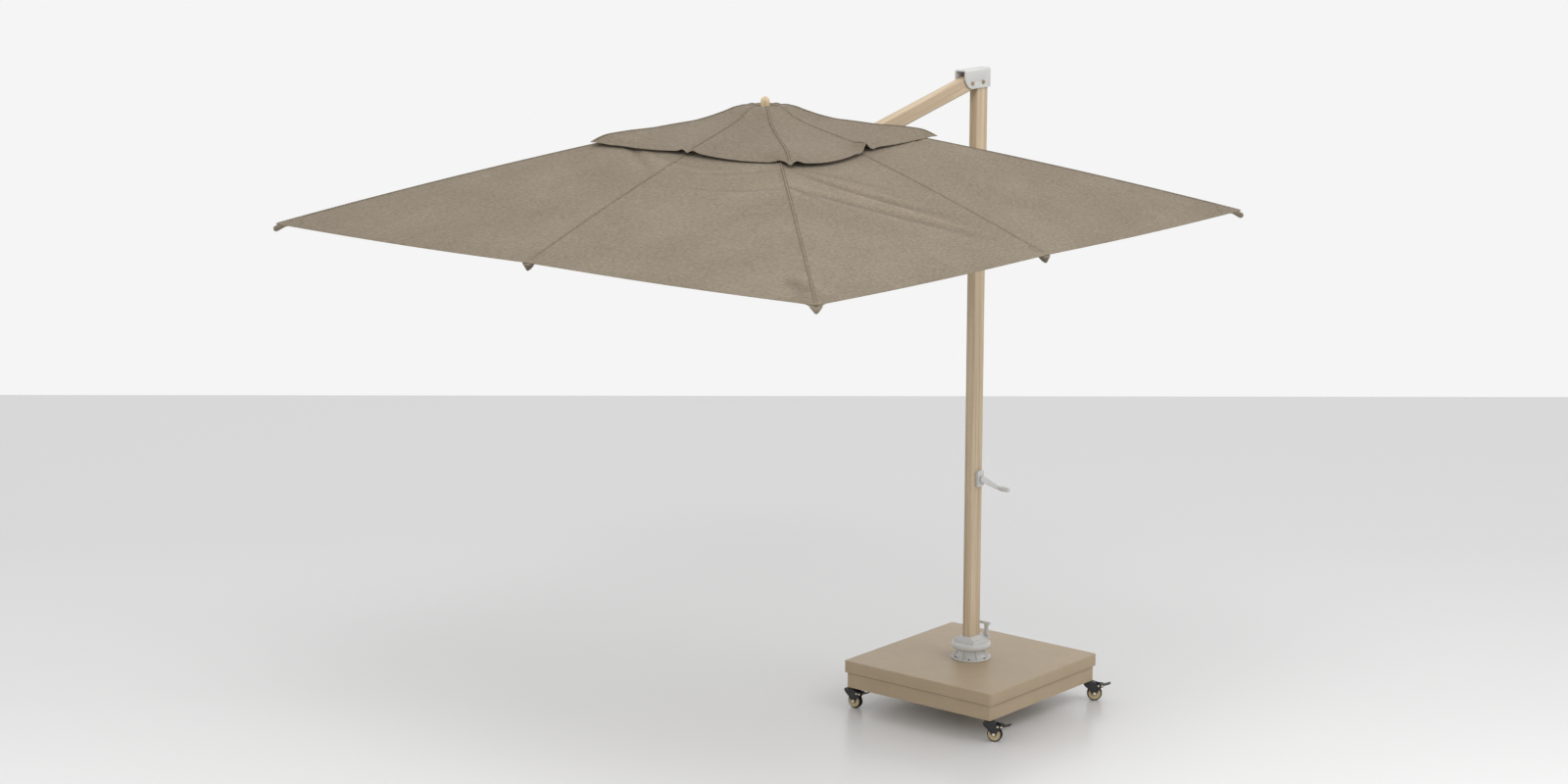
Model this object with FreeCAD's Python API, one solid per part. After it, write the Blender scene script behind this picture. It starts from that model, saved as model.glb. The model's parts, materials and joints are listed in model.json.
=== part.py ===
"""Cantilever patio umbrella: square canopy hung from a side mast on a square wheeled base.

Origin on the mast axis at the floor, +Z up. The boom and the canopy point towards -Y.
Millimetres.
"""
import FreeCAD
import Part
import os
from math import atan2, cos, degrees, pi, radians, sin, sqrt

V = FreeCAD.Vector
ORIGIN = V(0, 0, 0)
X_AXIS = V(1, 0, 0)
Y_AXIS = V(0, 1, 0)
Z_AXIS = V(0, 0, 1)

# Canopy
REACH = 1600.0             # mast axis to canopy centre
HALF_SIDE = 1525.0         # half of the square canopy's side
CROWN_Z = 3135.0           # height that the rib curves aim at over the centre
MID_SLOPE, MID_BOW = 0.265, 0.037e-3        # height lost per mm, and per mm squared
CORNER_SLOPE, CORNER_BOW = 0.1845, 0.0189e-3
FABRIC = 1.5               # modelled fabric thickness
VENT_R = 360.0             # inner edge of the main cloth, under the vent cap
SEAM_GAP = 0.4             # half of the gap kept between neighbouring gores
SLOT_HALF, SLOT_END = 30.0, 842.0           # slot in the rear gore for the boom
CAP_MID = ((100, 3134), (250, 3081), (400, 3046), (548, 3004))
CAP_CORNER = ((100, 3144), (300, 3088), (520, 3056), (751, 3006))

# Ribs and stretchers
PIVOT_R, PIVOT_Z = 75.0, 3104.0
RIB_W, RIB_H, RIB_WALL = 12.0, 20.0, 1.5
RIB_DROP = 16.0            # rib centre line below the cloth
RIB_START = 112.0
RIB_END_GAP = 18.0         # rib stops this far short of the cloth's corner
TONGUE_W = 7.6
JOINT_R_MID, JOINT_R_CORNER = 875.0, 864.8  # stretcher pivots along the ribs
JOINT_DROP = 19.0
STRETCHER_W, STRETCHER_H = 10.0, 16.0
RUNNER_PIVOT_R, RUNNER_PIVOT_Z = 60.0, 2496.0
FORK_X, FORK_BAR = 34.0, 10.0               # rear rib's two bars straddle the boom
FORK_END = 850.0
RUNNING = 0.05             # radial clearance of every running fit

# Mast, boom and head
MAST_X, MAST_Y, MAST_R, MAST_WALL = 50.0, 90.0, 12.0, 2.5
MAST_BOTTOM, MAST_TOP = 330.0, 3150.0
BOOM_W, BOOM_D, BOOM_WALL = 45.0, 74.0, 2.5
BOOM_PIN_Y, BOOM_PIN_Z = -94.0, 3112.0
BOOM_END_Z = 2764.0        # boom centre line at the canopy axis
HEAD_PIN_Y = -8.0
BRACKET_LOW, BRACKET_TOP = 3085.0, 3178.0
POST_R, POST_WALL = 19.0, 2.5
POST_BOTTOM = 2511.0
HUB_R, HUB_Z0, HUB_Z1 = 95.0, 3090.0, 3118.0
HUB_PIN_R, RUNNER_PIN_R, JOINT_PIN_R = 3.0, 3.0, 2.5
HEAD_PIN_R = 6.0
FINIAL_R, FINIAL_TOP = 20.0, 3187.0

# Crank
CRANK_Y, CRANK_Z = 5.0, 1157.0
CRANK_DY, CRANK_DZ = 137.0, -72.0
SHAFT_R, DRUM_R, GRIP_PIN_R = 6.0, 20.0, 4.0

# Base
LID_SIDE, LID_Z0, LID_Z1 = 898.0, 180.0, 240.0
TRAY_SIDE, TRAY_Z0, TRAY_Z1 = 878.0, 103.0, 232.0
SHEET = 2.5
SLAB, SLAB_T = 394.0, 60.0
STEM_AT, STEM_R = 424.0, 6.0
FLANGE_R, FLANGE_T = 98.0, 8.0
BOLT_CIRCLE_R, BOLT_HOLE_R, BOLT_COUNT = 84.0, 5.0, 6
WEB_T = 7.0                # gusset webs between the bolts
SPIGOT_R, SPIGOT_TOP = 30.0, LID_Z1 + 88       # round spigot that the collar turns on
COLLAR_Z = LID_Z1 + 54
LEVER_PIN_Y, LEVER_PIN_Z, LEVER_PIN_R = 57.5, COLLAR_Z + 56, 2.5

# Casters
WHEEL_R, WHEEL_W, TRAIL = 37.5, 26.0, 28.0
CUP_Z0, CUP_Z1 = 84.0, 98.0
PEDAL_U, PEDAL_Z, PEDAL_W = 58.0, 79.0, 30.0
FORK_W, FORK_PLATE = 37.0, 2.5
AXLE_R, PEDAL_PIN_R = 4.0, 3.0

RIB_ANGLES = {
    "right": 0, "rear_right": 45, "rear": 90, "rear_left": 135,
    "left": 180, "front_left": 225, "front": 270, "front_right": 315,
}
CASTERS = {
    "front_right": (1, -1, 20.0), "rear_right": (1, 1, 35.0),
    "rear_left": (-1, 1, 28.0), "front_left": (-1, -1, 2.0),
}


def is_corner(angle):
    return angle % 90 == 45


def cloth_z(angle, r):
    """Height of the cloth's upper face over a rib, at radius r from the canopy axis."""
    slope, bow = (CORNER_SLOPE, CORNER_BOW) if is_corner(angle) else (MID_SLOPE, MID_BOW)
    return CROWN_Z - slope * r - bow * r * r


def tip_radius(angle):
    return HALF_SIDE * sqrt(2) if is_corner(angle) else HALF_SIDE


def place(shape, angle):
    """Turn a shape drawn along +X over the canopy axis to its rib's direction."""
    shape = shape.copy()
    shape.rotate(ORIGIN, Z_AXIS, angle)
    shape.translate(V(0, -REACH, 0))
    return shape


def box(x0, x1, y0, y1, z0, z1):
    return Part.makeBox(x1 - x0, y1 - y0, z1 - z0, V(x0, y0, z0))


def x_rod(radius, length, x, y, z):
    """Round bar along +X from a point."""
    return Part.makeCylinder(radius, length, V(x, y, z), X_AXIS)


def rectangle(half_x, half_y, z):
    corners = [V(-half_x, -half_y, z), V(half_x, -half_y, z), V(half_x, half_y, z), V(-half_x, half_y, z)]
    return Part.makePolygon(corners + corners[:1])


def fuse(shapes):
    return shapes[0].multiFuse(shapes[1:]).removeSplitter() if len(shapes) > 1 else shapes[0]


def round_edges(shape, radius, direction):
    """Fillet the straight edges that run along a direction."""
    edges = []
    for edge in shape.Edges:
        if isinstance(edge.Curve, Part.Line):
            if edge.tangentAt(edge.FirstParameter).cross(direction).Length < 1e-6:
                edges.append(edge)
    return shape.makeFillet(radius, edges)


def round_box(x0, x1, y0, y1, z0, z1, radius, direction=Z_AXIS):
    return round_edges(box(x0, x1, y0, y1, z0, z1), radius, direction)


def revolve(points):
    """Solid of revolution about +Z from (radius, height) points."""
    outline = [V(r, 0, z) for r, z in points]
    face = Part.Face(Part.makePolygon(outline + outline[:1]))
    return face.revolve(ORIGIN, Z_AXIS, 360)


def slab_from_outline(edges, half_width):
    """Extrude a closed outline of the XZ plane to both sides of it."""
    face = Part.Face(Part.Wire(edges))
    face.translate(V(0, -half_width, 0))
    return face.extrude(V(0, 2 * half_width, 0))


def save(name, shapes):
    shape = Part.makeCompound(shapes) if isinstance(shapes, list) else shapes
    shape.exportStep("parts/%s.step" % name)


# ---------------------------------------------------------------- base

def base_lid():
    half = LID_SIDE / 2
    outer = round_box(-half, half, -half, half, LID_Z0, LID_Z1, 12)
    top_edges = [e for e in outer.Edges if e.BoundBox.ZMin > LID_Z1 - 0.01]
    outer = outer.makeFillet(4, top_edges)
    inner = round_box(
        -half + SHEET, half - SHEET, -half + SHEET, half - SHEET, LID_Z0 - 1, LID_Z1 - SHEET, 9.5
    )
    return outer.cut(inner)


def base_tray():
    half = TRAY_SIDE / 2
    outer = round_box(-half, half, -half, half, TRAY_Z0, TRAY_Z1, 10)
    inner = round_box(
        -half + SHEET, half - SHEET, -half + SHEET, half - SHEET, TRAY_Z0 + SHEET, TRAY_Z1 + 1, 7.5
    )
    tray = outer.cut(inner)
    for sx, sy, _ in CASTERS.values():
        at = V(sx * STEM_AT, sy * STEM_AT, TRAY_Z0 - 5)
        tray = tray.cut(Part.makeCylinder(STEM_R + 0.1, 20, at))
    return tray


def centre_post():
    """Square steel column that carries the hub through the lid down to the tray."""
    bottom = TRAY_Z0 + SHEET
    outer = round_box(-60, 60, -60, 60, bottom, LID_Z1 - SHEET, 8)
    return outer.cut(round_box(-54, 54, -54, 54, bottom + 4, LID_Z1 - SHEET - 8, 4))


def ballast_slabs():
    z0 = TRAY_Z0 + SHEET
    slabs = []
    for sx in (-1, 1):
        for sy in (-1, 1):
            x, y = sx * (SLAB / 2 + 4), sy * (SLAB / 2 + 4)
            half = SLAB / 2
            slab = round_box(x - half, x + half, y - half, y + half, z0, z0 + SLAB_T, 6)
            slabs.append(slab.cut(box(-64, 64, -64, 64, z0 - 1, z0 + SLAB_T + 1)))
    return slabs


def caster_stems():
    floor = TRAY_Z0 + SHEET
    stems = []
    for sx, sy, _ in CASTERS.values():
        at = V(sx * STEM_AT, sy * STEM_AT, 0)
        stem = Part.makeCylinder(STEM_R, floor + 8 - CUP_Z0 - 2.2, at + V(0, 0, CUP_Z0 + 2.2))
        washer = Part.makeCylinder(10, 4, at + V(0, 0, floor))
        collar = Part.makeCylinder(9, 3, at + V(0, 0, TRAY_Z0 - 3))
        stems.append(fuse([stem, washer, collar]))
    return stems


def bolt_points(z):
    """Centres of the flange's bolts, evenly round their circle."""
    turns = [2 * pi * i / BOLT_COUNT for i in range(BOLT_COUNT)]
    return [V(BOLT_CIRCLE_R * cos(turn), BOLT_CIRCLE_R * sin(turn), z) for turn in turns]


def hub_flange():
    """Bolted foot with gusset webs round its waist, and the spigot that the mast turns on."""
    z = LID_Z1
    top = COLLAR_Z - 1
    body = revolve([
        (0, z), (FLANGE_R - 2, z), (FLANGE_R, z + 2), (FLANGE_R, z + FLANGE_T - 2),
        (FLANGE_R - 2, z + FLANGE_T), (76, z + FLANGE_T + 1), (68, z + 16), (63, z + 28), (60, z + 42),
        (60, top - 6), (66, top), (SPIGOT_R, top), (SPIGOT_R, SPIGOT_TOP), (0, SPIGOT_TOP),
    ])
    outline = [
        V(50, -WEB_T / 2, z + 4), V(94, -WEB_T / 2, z + 4), V(92, -WEB_T / 2, z + 12),
        V(80, -WEB_T / 2, z + 20), V(72, -WEB_T / 2, z + 32), V(68, -WEB_T / 2, top),
        V(50, -WEB_T / 2, top),
    ]
    plate = Part.Face(Part.makePolygon(outline + outline[:1])).extrude(V(0, WEB_T, 0))
    webs = []
    for i in range(BOLT_COUNT):
        web = plate.copy()
        web.rotate(ORIGIN, Z_AXIS, 360 / BOLT_COUNT * (i + 0.5))
        webs.append(web)
    body = fuse([body] + webs)
    for at in bolt_points(z - 5):
        body = body.cut(Part.makeCylinder(BOLT_HOLE_R, 30, at))
    return body


def flange_bolts():
    return [Part.makeCylinder(BOLT_HOLE_R - 0.1, 5, at) for at in bolt_points(LID_Z1)]


# ---------------------------------------------------------------- mast

def mast_collar():
    """Turning collar: a round disc under a square socket block that grips the mast."""
    z = COLLAR_Z
    bore = SPIGOT_R + RUNNING
    disc = revolve([
        (bore, z), (92, z), (97, z + 5), (98.5, z + 12), (98.5, z + 18), (96, z + 25),
        (90, z + 30), (bore, z + 30),
    ])
    block = round_box(-63, 63, -63, 63, z + 26, z + 48, 9)
    cone = Part.makeLoft([rectangle(59, 59, z + 48), rectangle(35, 54, z + 62)], True)
    ears = [box(x, x + 5, 52, 63, z + 40, z + 62) for x in (34, 63)]
    body = fuse([disc, block, cone])
    body = body.cut(box(33.5, 68.5, 48, 64.5, z + 50, z + 80))
    body = fuse([body] + ears)
    body = body.cut(Part.makeCylinder(bore, 37, V(0, 0, z - 1)))
    half_x, half_y = MAST_X / 2, MAST_Y / 2
    body = body.cut(round_box(-half_x, half_x, -half_y, half_y, MAST_BOTTOM, z + 90, MAST_R))
    for x in (34, 63):
        body = body.cut(x_rod(LEVER_PIN_R, 8, x - 1, LEVER_PIN_Y, LEVER_PIN_Z))
    return body


def lever_pin():
    return x_rod(LEVER_PIN_R, 34, 34, LEVER_PIN_Y, LEVER_PIN_Z)


def lock_lever():
    """Upright lever behind the collar, with a cross bar along its top."""
    y, z = LEVER_PIN_Y, LEVER_PIN_Z
    upright = round_box(40, 62, y - 3.5, y + 3.5, z - 4.5, z + 62, 2, X_AXIS)
    barrel = x_rod(5, 22, 40, y, z)
    bar = x_rod(7, 84, -14, y + 1.5, z + 62)
    lever = fuse([upright, barrel, bar])
    return lever.cut(x_rod(LEVER_PIN_R + RUNNING, 40, 32, y, z))


def mast_tube():
    hx, hy = MAST_X / 2, MAST_Y / 2
    outer = round_box(-hx, hx, -hy, hy, MAST_BOTTOM, MAST_TOP, MAST_R)
    ix, iy = hx - MAST_WALL, hy - MAST_WALL
    tube = outer.cut(round_box(-ix, ix, -iy, iy, MAST_BOTTOM - 1, MAST_TOP + 1, MAST_R - MAST_WALL))
    tube = tube.cut(x_rod(12, 20, hx - 10, CRANK_Y, CRANK_Z))
    return tube.cut(x_rod(HEAD_PIN_R, 80, -40, HEAD_PIN_Y, BOOM_PIN_Z))


def boom_tilt():
    return (BOOM_PIN_Z - BOOM_END_Z) / (REACH + BOOM_PIN_Y)


def head_bracket():
    """Inverted U over the mast's top, open to the front, with the boom's root between its cheeks."""
    def side(half_width, front, back, low, high, corner):
        a, b = V(front, 0, high), V(back, 0, high)
        c, d = V(back, 0, low), V(front + corner, 0, low)
        e = V(front, 0, low + corner)
        mid = V(front + corner * (1 - cos(radians(45))), 0, low + corner * (1 - sin(radians(45))))
        edges = [Part.makeLine(a, b), Part.makeLine(b, c), Part.makeLine(c, d),
                 Part.Arc(d, mid, e).toShape(), Part.makeLine(e, a)]
        plate = slab_from_outline(edges, half_width)
        plate.rotate(ORIGIN, Z_AXIS, 90)
        return plate

    outer = side(32, -150, 51, BRACKET_LOW, BRACKET_TOP, 62)
    top = []
    for edge in outer.Edges:
        if isinstance(edge.Curve, Part.Line) and edge.BoundBox.ZMin > BRACKET_TOP - 0.1:
            if abs(edge.tangentAt(edge.FirstParameter).y) > 0.99:
                top.append(edge)
    outer = outer.makeFillet(10, top)
    pocket = box(-25.1, 25.1, -160, 45.1, BRACKET_LOW - 5, BRACKET_TOP - 7)
    bracket = outer.cut(pocket)
    for y in (BOOM_PIN_Y, HEAD_PIN_Y):
        bracket = bracket.cut(x_rod(HEAD_PIN_R, 80, -40, y, BOOM_PIN_Z))
    return bracket


def head_pins():
    pins = []
    for y in (BOOM_PIN_Y, HEAD_PIN_Y):
        shank = x_rod(HEAD_PIN_R, 64, -32, y, BOOM_PIN_Z)
        heads = [x_rod(HEAD_PIN_R + 3, 5, x, y, BOOM_PIN_Z) for x in (-37, 32)]
        pins.append(fuse([shank] + heads))
    return pins


def boom_frame(shape):
    """Carry a shape drawn along +X from the boom's pin to the boom's own slope."""
    shape = shape.copy()
    shape.rotate(ORIGIN, Y_AXIS, degrees(atan2(boom_tilt(), 1)))
    shape.rotate(ORIGIN, Z_AXIS, -90)
    shape.translate(V(0, BOOM_PIN_Y, BOOM_PIN_Z))
    return shape


def boom_length():
    return (REACH + BOOM_PIN_Y - 46) * sqrt(1 + boom_tilt() ** 2)


def boom_tube():
    hw, hd, w = BOOM_W / 2, BOOM_D / 2, BOOM_WALL
    tube = round_box(-36, boom_length(), -hw, hw, -hd, hd, 9, X_AXIS)
    tube = tube.cut(round_box(-40, boom_length() + 5, -hw + w, hw - w, -hd + w, hd - w, 6.5, X_AXIS))
    tube = tube.cut(Part.makeCylinder(HEAD_PIN_R, 80, V(0, -40, 0), Y_AXIS))
    return boom_frame(tube)


def boom_end():
    """Casting at the boom's foot: a spigot in the boom and a sleeve on the canopy post."""
    length = boom_length()
    hw, hd = BOOM_W / 2, BOOM_D / 2
    inset = BOOM_WALL + 0.2
    spigot = round_box(length - 60, length + 1, -hw + inset, hw - inset, -hd + inset, hd - inset, 6, X_AXIS)
    cheek = round_box(length + 0.2, length + 30, -hw, hw, -hd, hd, 9, X_AXIS)
    neck = boom_frame(fuse([spigot, cheek]))
    sleeve = Part.makeCylinder(26, 96, V(0, -REACH, BOOM_END_Z - 46))
    body = fuse([neck, sleeve])
    return body.cut(Part.makeCylinder(POST_R, 200, V(0, -REACH, BOOM_END_Z - 100)))


def canopy_post():
    height = HUB_Z1 - POST_BOTTOM
    post = Part.makeCylinder(POST_R, height, V(0, -REACH, POST_BOTTOM))
    return post.cut(Part.makeCylinder(POST_R - POST_WALL, height + 2, V(0, -REACH, POST_BOTTOM - 1)))


def top_hub():
    hub = Part.makeCylinder(HUB_R, HUB_Z1 - HUB_Z0, V(0, 0, HUB_Z0))
    hub = hub.cut(Part.makeCylinder(POST_R, 200, V(0, 0, HUB_Z0 - 50)))
    for angle in RIB_ANGLES.values():
        slot = box(60, 110, -4.4, 4.4, HUB_Z0 - 5, HUB_Z1 + 5)
        hole = Part.makeCylinder(HUB_PIN_R, 60, V(PIVOT_R, -30, PIVOT_Z), Y_AXIS)
        for tool in (slot, hole):
            tool.rotate(ORIGIN, Z_AXIS, angle)
            hub = hub.cut(tool)
    hub.translate(V(0, -REACH, 0))
    return hub


def hub_pins():
    pin = Part.makeCylinder(HUB_PIN_R, 40, V(PIVOT_R, -20, PIVOT_Z), Y_AXIS)
    return [place(pin, angle) for angle in RIB_ANGLES.values()]


def finial():
    r, top = FINIAL_R, FINIAL_TOP
    profile = [
        (0, HUB_Z1), (34, HUB_Z1), (34, HUB_Z1 + 5), (14, HUB_Z1 + 10), (14, top - 58), (r, top - 55),
        (r, top - 21), (0.92 * r, top - 13), (0.7 * r, top - 6), (0.35 * r, top - 1), (0, top),
    ]
    shape = revolve(profile)
    shape.translate(V(0, -REACH, 0))
    return shape


# ---------------------------------------------------------------- crank

def crank_plate():
    x0 = MAST_X / 2 + 0.1
    plate = round_box(x0, x0 + 17, -17, 30, 1118, 1197, 8, X_AXIS)
    boss = Part.makeCylinder(13, 24, V(x0, CRANK_Y, CRANK_Z), X_AXIS)
    plate = fuse([plate, boss])
    return plate.cut(Part.makeCylinder(SHAFT_R + RUNNING, 60, V(0, CRANK_Y, CRANK_Z), X_AXIS))


def crank_arm():
    x0, x1 = 50.0, 58.0
    start, end = V(x0, CRANK_Y, CRANK_Z), V(x0, CRANK_Y + CRANK_DY, CRANK_Z + CRANK_DZ)
    along = (end - start).normalize()
    across = V(0, -along.z, along.y)
    corners = [start + across * 16, end + across * 9, end - across * 9, start - across * 16]
    web = Part.Face(Part.makePolygon(corners + corners[:1])).extrude(V(x1 - x0, 0, 0))
    eyes = [Part.makeCylinder(r, x1 - x0, at, X_AXIS) for r, at in ((16, start), (9, end))]
    shaft = Part.makeCylinder(SHAFT_R, x1 + 20, V(-20, CRANK_Y, CRANK_Z), X_AXIS)
    pin = Part.makeCylinder(GRIP_PIN_R, 62, end, X_AXIS)
    return fuse([web, shaft, pin] + eyes)


def winch_drum():
    rim, half = DRUM_R + 6, 16
    drum = revolve([
        (SHAFT_R, -half), (rim, -half), (rim, -half + 3), (DRUM_R, -half + 3), (DRUM_R, half - 3),
        (rim, half - 3), (rim, half), (SHAFT_R, half),
    ])
    drum.rotate(ORIGIN, Y_AXIS, 90)
    drum.translate(V(0, CRANK_Y, CRANK_Z))
    return drum


def crank_grip():
    bore = GRIP_PIN_R + RUNNING
    grip = revolve([
        (bore, 0.4), (10, 0.4), (12, 6), (13, 18), (13, 44), (11.5, 54), (7, 60), (0, 61), (0, 55),
        (bore, 55),
    ])
    grip.rotate(ORIGIN, Y_AXIS, 90)
    grip.translate(V(58, CRANK_Y + CRANK_DY, CRANK_Z + CRANK_DZ))
    return grip


# ---------------------------------------------------------------- canopy frame

def rib_line_z(angle, r):
    return cloth_z(angle, r) - RIB_DROP


def curved_bar(angle, r0, r1, height, half_width):
    """Bar that follows a rib's bow from radius r0 to r1, drawn along +X."""
    middle = (r0 + r1) / 2

    def curve(offset):
        return [V(r, 0, rib_line_z(angle, r) + offset) for r in (r0, middle, r1)]

    top, low = curve(height / 2), curve(-height / 2)
    edges = [
        Part.Arc(*top).toShape(), Part.makeLine(top[2], low[2]),
        Part.Arc(*reversed(low)).toShape(), Part.makeLine(low[0], top[0]),
    ]
    return slab_from_outline(edges, half_width)


def hollow_bar(angle, r0, r1):
    outer = curved_bar(angle, r0, r1, RIB_H, RIB_W / 2)
    inner = curved_bar(angle, r0 - 1, r1 + 1, RIB_H - 2 * RIB_WALL, RIB_W / 2 - RIB_WALL)
    return outer.cut(inner)


def rib_tongue(angle, reach):
    """Flat tongue from the hub pivot to radius reach."""
    end_z = rib_line_z(angle, reach)
    outline = [V(PIVOT_R, 0, PIVOT_Z + 8), V(reach, 0, end_z + 8), V(reach, 0, end_z - 8),
               V(PIVOT_R, 0, PIVOT_Z - 8)]
    edges = [Part.makeLine(outline[i], outline[(i + 1) % 4]) for i in range(4)]
    web = slab_from_outline(edges, TONGUE_W / 2)
    eye = Part.makeCylinder(8, TONGUE_W, V(PIVOT_R, -TONGUE_W / 2, PIVOT_Z), Y_AXIS)
    return fuse([web, eye])


def pivot_bore():
    return Part.makeCylinder(HUB_PIN_R + RUNNING, 60, V(PIVOT_R, -30, PIVOT_Z), Y_AXIS)


def joint_radius(angle):
    return JOINT_R_CORNER if is_corner(angle) else JOINT_R_MID


def joint_point(angle):
    r = joint_radius(angle)
    return V(r, 0, rib_line_z(angle, r) - JOINT_DROP)


def joint_ears(angle):
    """Two ears under a rib, with the pin that carries its stretcher."""
    at = joint_point(angle)
    parts = []
    for y in (-8.0, 5.3):
        plate = box(at.x - 7, at.x + 7, y, y + 2.7, at.z, at.z + JOINT_DROP)
        eye = Part.makeCylinder(7, 2.7, V(at.x, y, at.z), Y_AXIS)
        parts += [plate, eye]
    parts.append(Part.makeCylinder(JOINT_PIN_R, 16, V(at.x, -8, at.z), Y_AXIS))
    return parts


def plain_rib(angle):
    end = tip_radius(angle) - RIB_END_GAP
    plug = curved_bar(angle, RIB_START, RIB_START + 40, RIB_H - 2 * RIB_WALL, RIB_W / 2 - RIB_WALL)
    cap = curved_bar(angle, end - 4, end, RIB_H, RIB_W / 2)
    bar = hollow_bar(angle, RIB_START, end - 4)
    rib = fuse([bar, rib_tongue(angle, RIB_START + 4), plug, cap] + joint_ears(angle))
    return rib.cut(pivot_bore())


def forked_rib(angle):
    """Rear rib: two bars pass either side of the boom, then join into one."""
    end = tip_radius(angle) - RIB_END_GAP
    bars = []
    for y in (-FORK_X, FORK_X):
        bar = curved_bar(angle, RIB_START, FORK_END, RIB_H, FORK_BAR / 2)
        bar.translate(V(0, y, 0))
        bars.append(bar)
    half = FORK_X + FORK_BAR / 2
    bridges = [curved_bar(angle, RIB_START + 1, RIB_START + 14, RIB_H - 3, half - 1),
               curved_bar(angle, FORK_END - 14, FORK_END - 1, RIB_H - 3, half - 1)]
    cap = curved_bar(angle, end - 4, end, RIB_H, RIB_W / 2)
    bar = hollow_bar(angle, FORK_END - 7, end - 4)
    rib = fuse(bars + bridges + [rib_tongue(angle, RIB_START + 4), bar, cap] + joint_ears(angle))
    return rib.cut(pivot_bore())


def stretcher(angle):
    outer = joint_point(angle)
    inner = V(RUNNER_PIVOT_R, 0, RUNNER_PIVOT_Z)
    length = (outer - inner).Length
    hw, hh = STRETCHER_W / 2, STRETCHER_H / 2
    bar = box(0, length, -hw, hw, -hh, hh)
    bar = bar.cut(box(24, length - 24, -hw + 1.5, hw - 1.5, -hh + 1.5, hh - 1.5))
    eyes = [Part.makeCylinder(hh, 2 * hw, V(x, -hw, 0), Y_AXIS) for x in (0, length)]
    arm = fuse([bar] + eyes)
    arm = arm.cut(Part.makeCylinder(JOINT_PIN_R + RUNNING, 40, V(length, -20, 0), Y_AXIS))
    arm = arm.cut(Part.makeCylinder(RUNNER_PIN_R, 40, V(0, -20, 0), Y_AXIS))
    slope = atan2(outer.z - inner.z, outer.x - inner.x)
    arm.rotate(ORIGIN, Y_AXIS, -degrees(slope))
    arm.translate(inner)
    return arm


def runner():
    """Slotted lower hub that slides below the post; each slot takes a stretcher's inner end."""
    z0, z1 = RUNNER_PIVOT_Z - 14, RUNNER_PIVOT_Z + 14
    body = revolve([
        (0, z0 - 10), (24, z0 - 10), (30, z0), (76, z0), (78, z0 + 3), (78, z1 - 3), (76, z1), (0, z1),
    ])
    for angle in RIB_ANGLES.values():
        slot = box(44, 100, -6.5, 6.5, z0 - 20, z1 + 5)
        slot.rotate(ORIGIN, Z_AXIS, angle)
        body = body.cut(slot)
    body.translate(V(0, -REACH, 0))
    return body


# ---------------------------------------------------------------- canopy cloth

def prism(a, b, c):
    return Part.Face(Part.makePolygon([a, b, c, a])).extrude(V(0, 0, -FABRIC))


def strip(line_a, line_b):
    """Thin solid between two polylines of equally many points."""
    pieces = []
    for i in range(len(line_a) - 1):
        pieces.append(prism(line_a[i], line_a[i + 1], line_b[i + 1]))
        pieces.append(prism(line_a[i], line_b[i + 1], line_b[i]))
    return pieces


def polar(angle, r, z):
    return V(r * cos(radians(angle)), r * sin(radians(angle)), z)


def cloth_stations(angle):
    steps = 3
    tip = tip_radius(angle)
    radii = [VENT_R + (tip - VENT_R) * i / steps for i in range(steps + 1)]
    return [polar(angle, r, cloth_z(angle, r)) for r in radii]


def cap_stations(angle):
    return [polar(angle, r, z) for r, z in (CAP_CORNER if is_corner(angle) else CAP_MID)]


def seam_line(own, other):
    """Middle line between two ribs' polylines, drawn back a little towards the first."""
    line = []
    for a, b in zip(own, other):
        back = (a - b).normalize() * SEAM_GAP
        line.append((a + b) * 0.5 + back)
    return line


def gore(angle):
    """Cloth of one rib, out to the middle of the panels beside it: main cloth and vent cap."""
    cloths = []
    for stations in (cloth_stations, cap_stations):
        own = stations(angle)
        pieces = []
        for side in (-45, 45):
            pieces += strip(own, seam_line(own, stations(angle + side)))
        cloths.append(fuse(pieces))
    if angle == 90:
        cloths[0] = cloths[0].cut(box(-SLOT_HALF, SLOT_HALF, 0, SLOT_END, 2000, 4000))
    shape = Part.makeCompound(cloths)
    shape.translate(V(0, -REACH, 0))
    return shape


# ---------------------------------------------------------------- casters

def caster_place(shape, key):
    sx, sy, angle = CASTERS[key]
    shape = shape.copy()
    shape.rotate(ORIGIN, Z_AXIS, angle)
    shape.translate(V(sx * STEM_AT, sy * STEM_AT, 0))
    return shape


def caster_fork():
    cup = revolve([
        (0, CUP_Z0), (22, CUP_Z0), (25, CUP_Z0 + 3), (25, CUP_Z1 - 4), (21, CUP_Z1), (0, CUP_Z1),
    ])
    cup = cup.cut(Part.makeCylinder(STEM_R + RUNNING, 30, V(0, 0, CUP_Z0 + 2)))
    parts = [cup]
    side = FORK_W / 2
    for y in (-side, side - FORK_PLATE):
        outline = [
            V(-20, y, CUP_Z0 + 4), V(24, y, CUP_Z0 + 4), V(PEDAL_U + 6, y, PEDAL_Z + 5),
            V(PEDAL_U + 6, y, PEDAL_Z - 6), V(TRAIL + 11, y, WHEEL_R + 4), V(TRAIL + 8, y, WHEEL_R - 8),
            V(TRAIL - 8, y, WHEEL_R - 8), V(TRAIL - 12, y, WHEEL_R + 4),
        ]
        plate = Part.Face(Part.makePolygon(outline + outline[:1]))
        parts.append(plate.extrude(V(0, FORK_PLATE, 0)))
    bridge = box(-20, 24, -side, side, CUP_Z0, CUP_Z0 + 2)
    axle = Part.makeCylinder(AXLE_R, FORK_W, V(TRAIL, -side, WHEEL_R), Y_AXIS)
    pin = Part.makeCylinder(PEDAL_PIN_R, FORK_W, V(PEDAL_U, -side, PEDAL_Z), Y_AXIS)
    return fuse(parts + [bridge, axle, pin])


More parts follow.
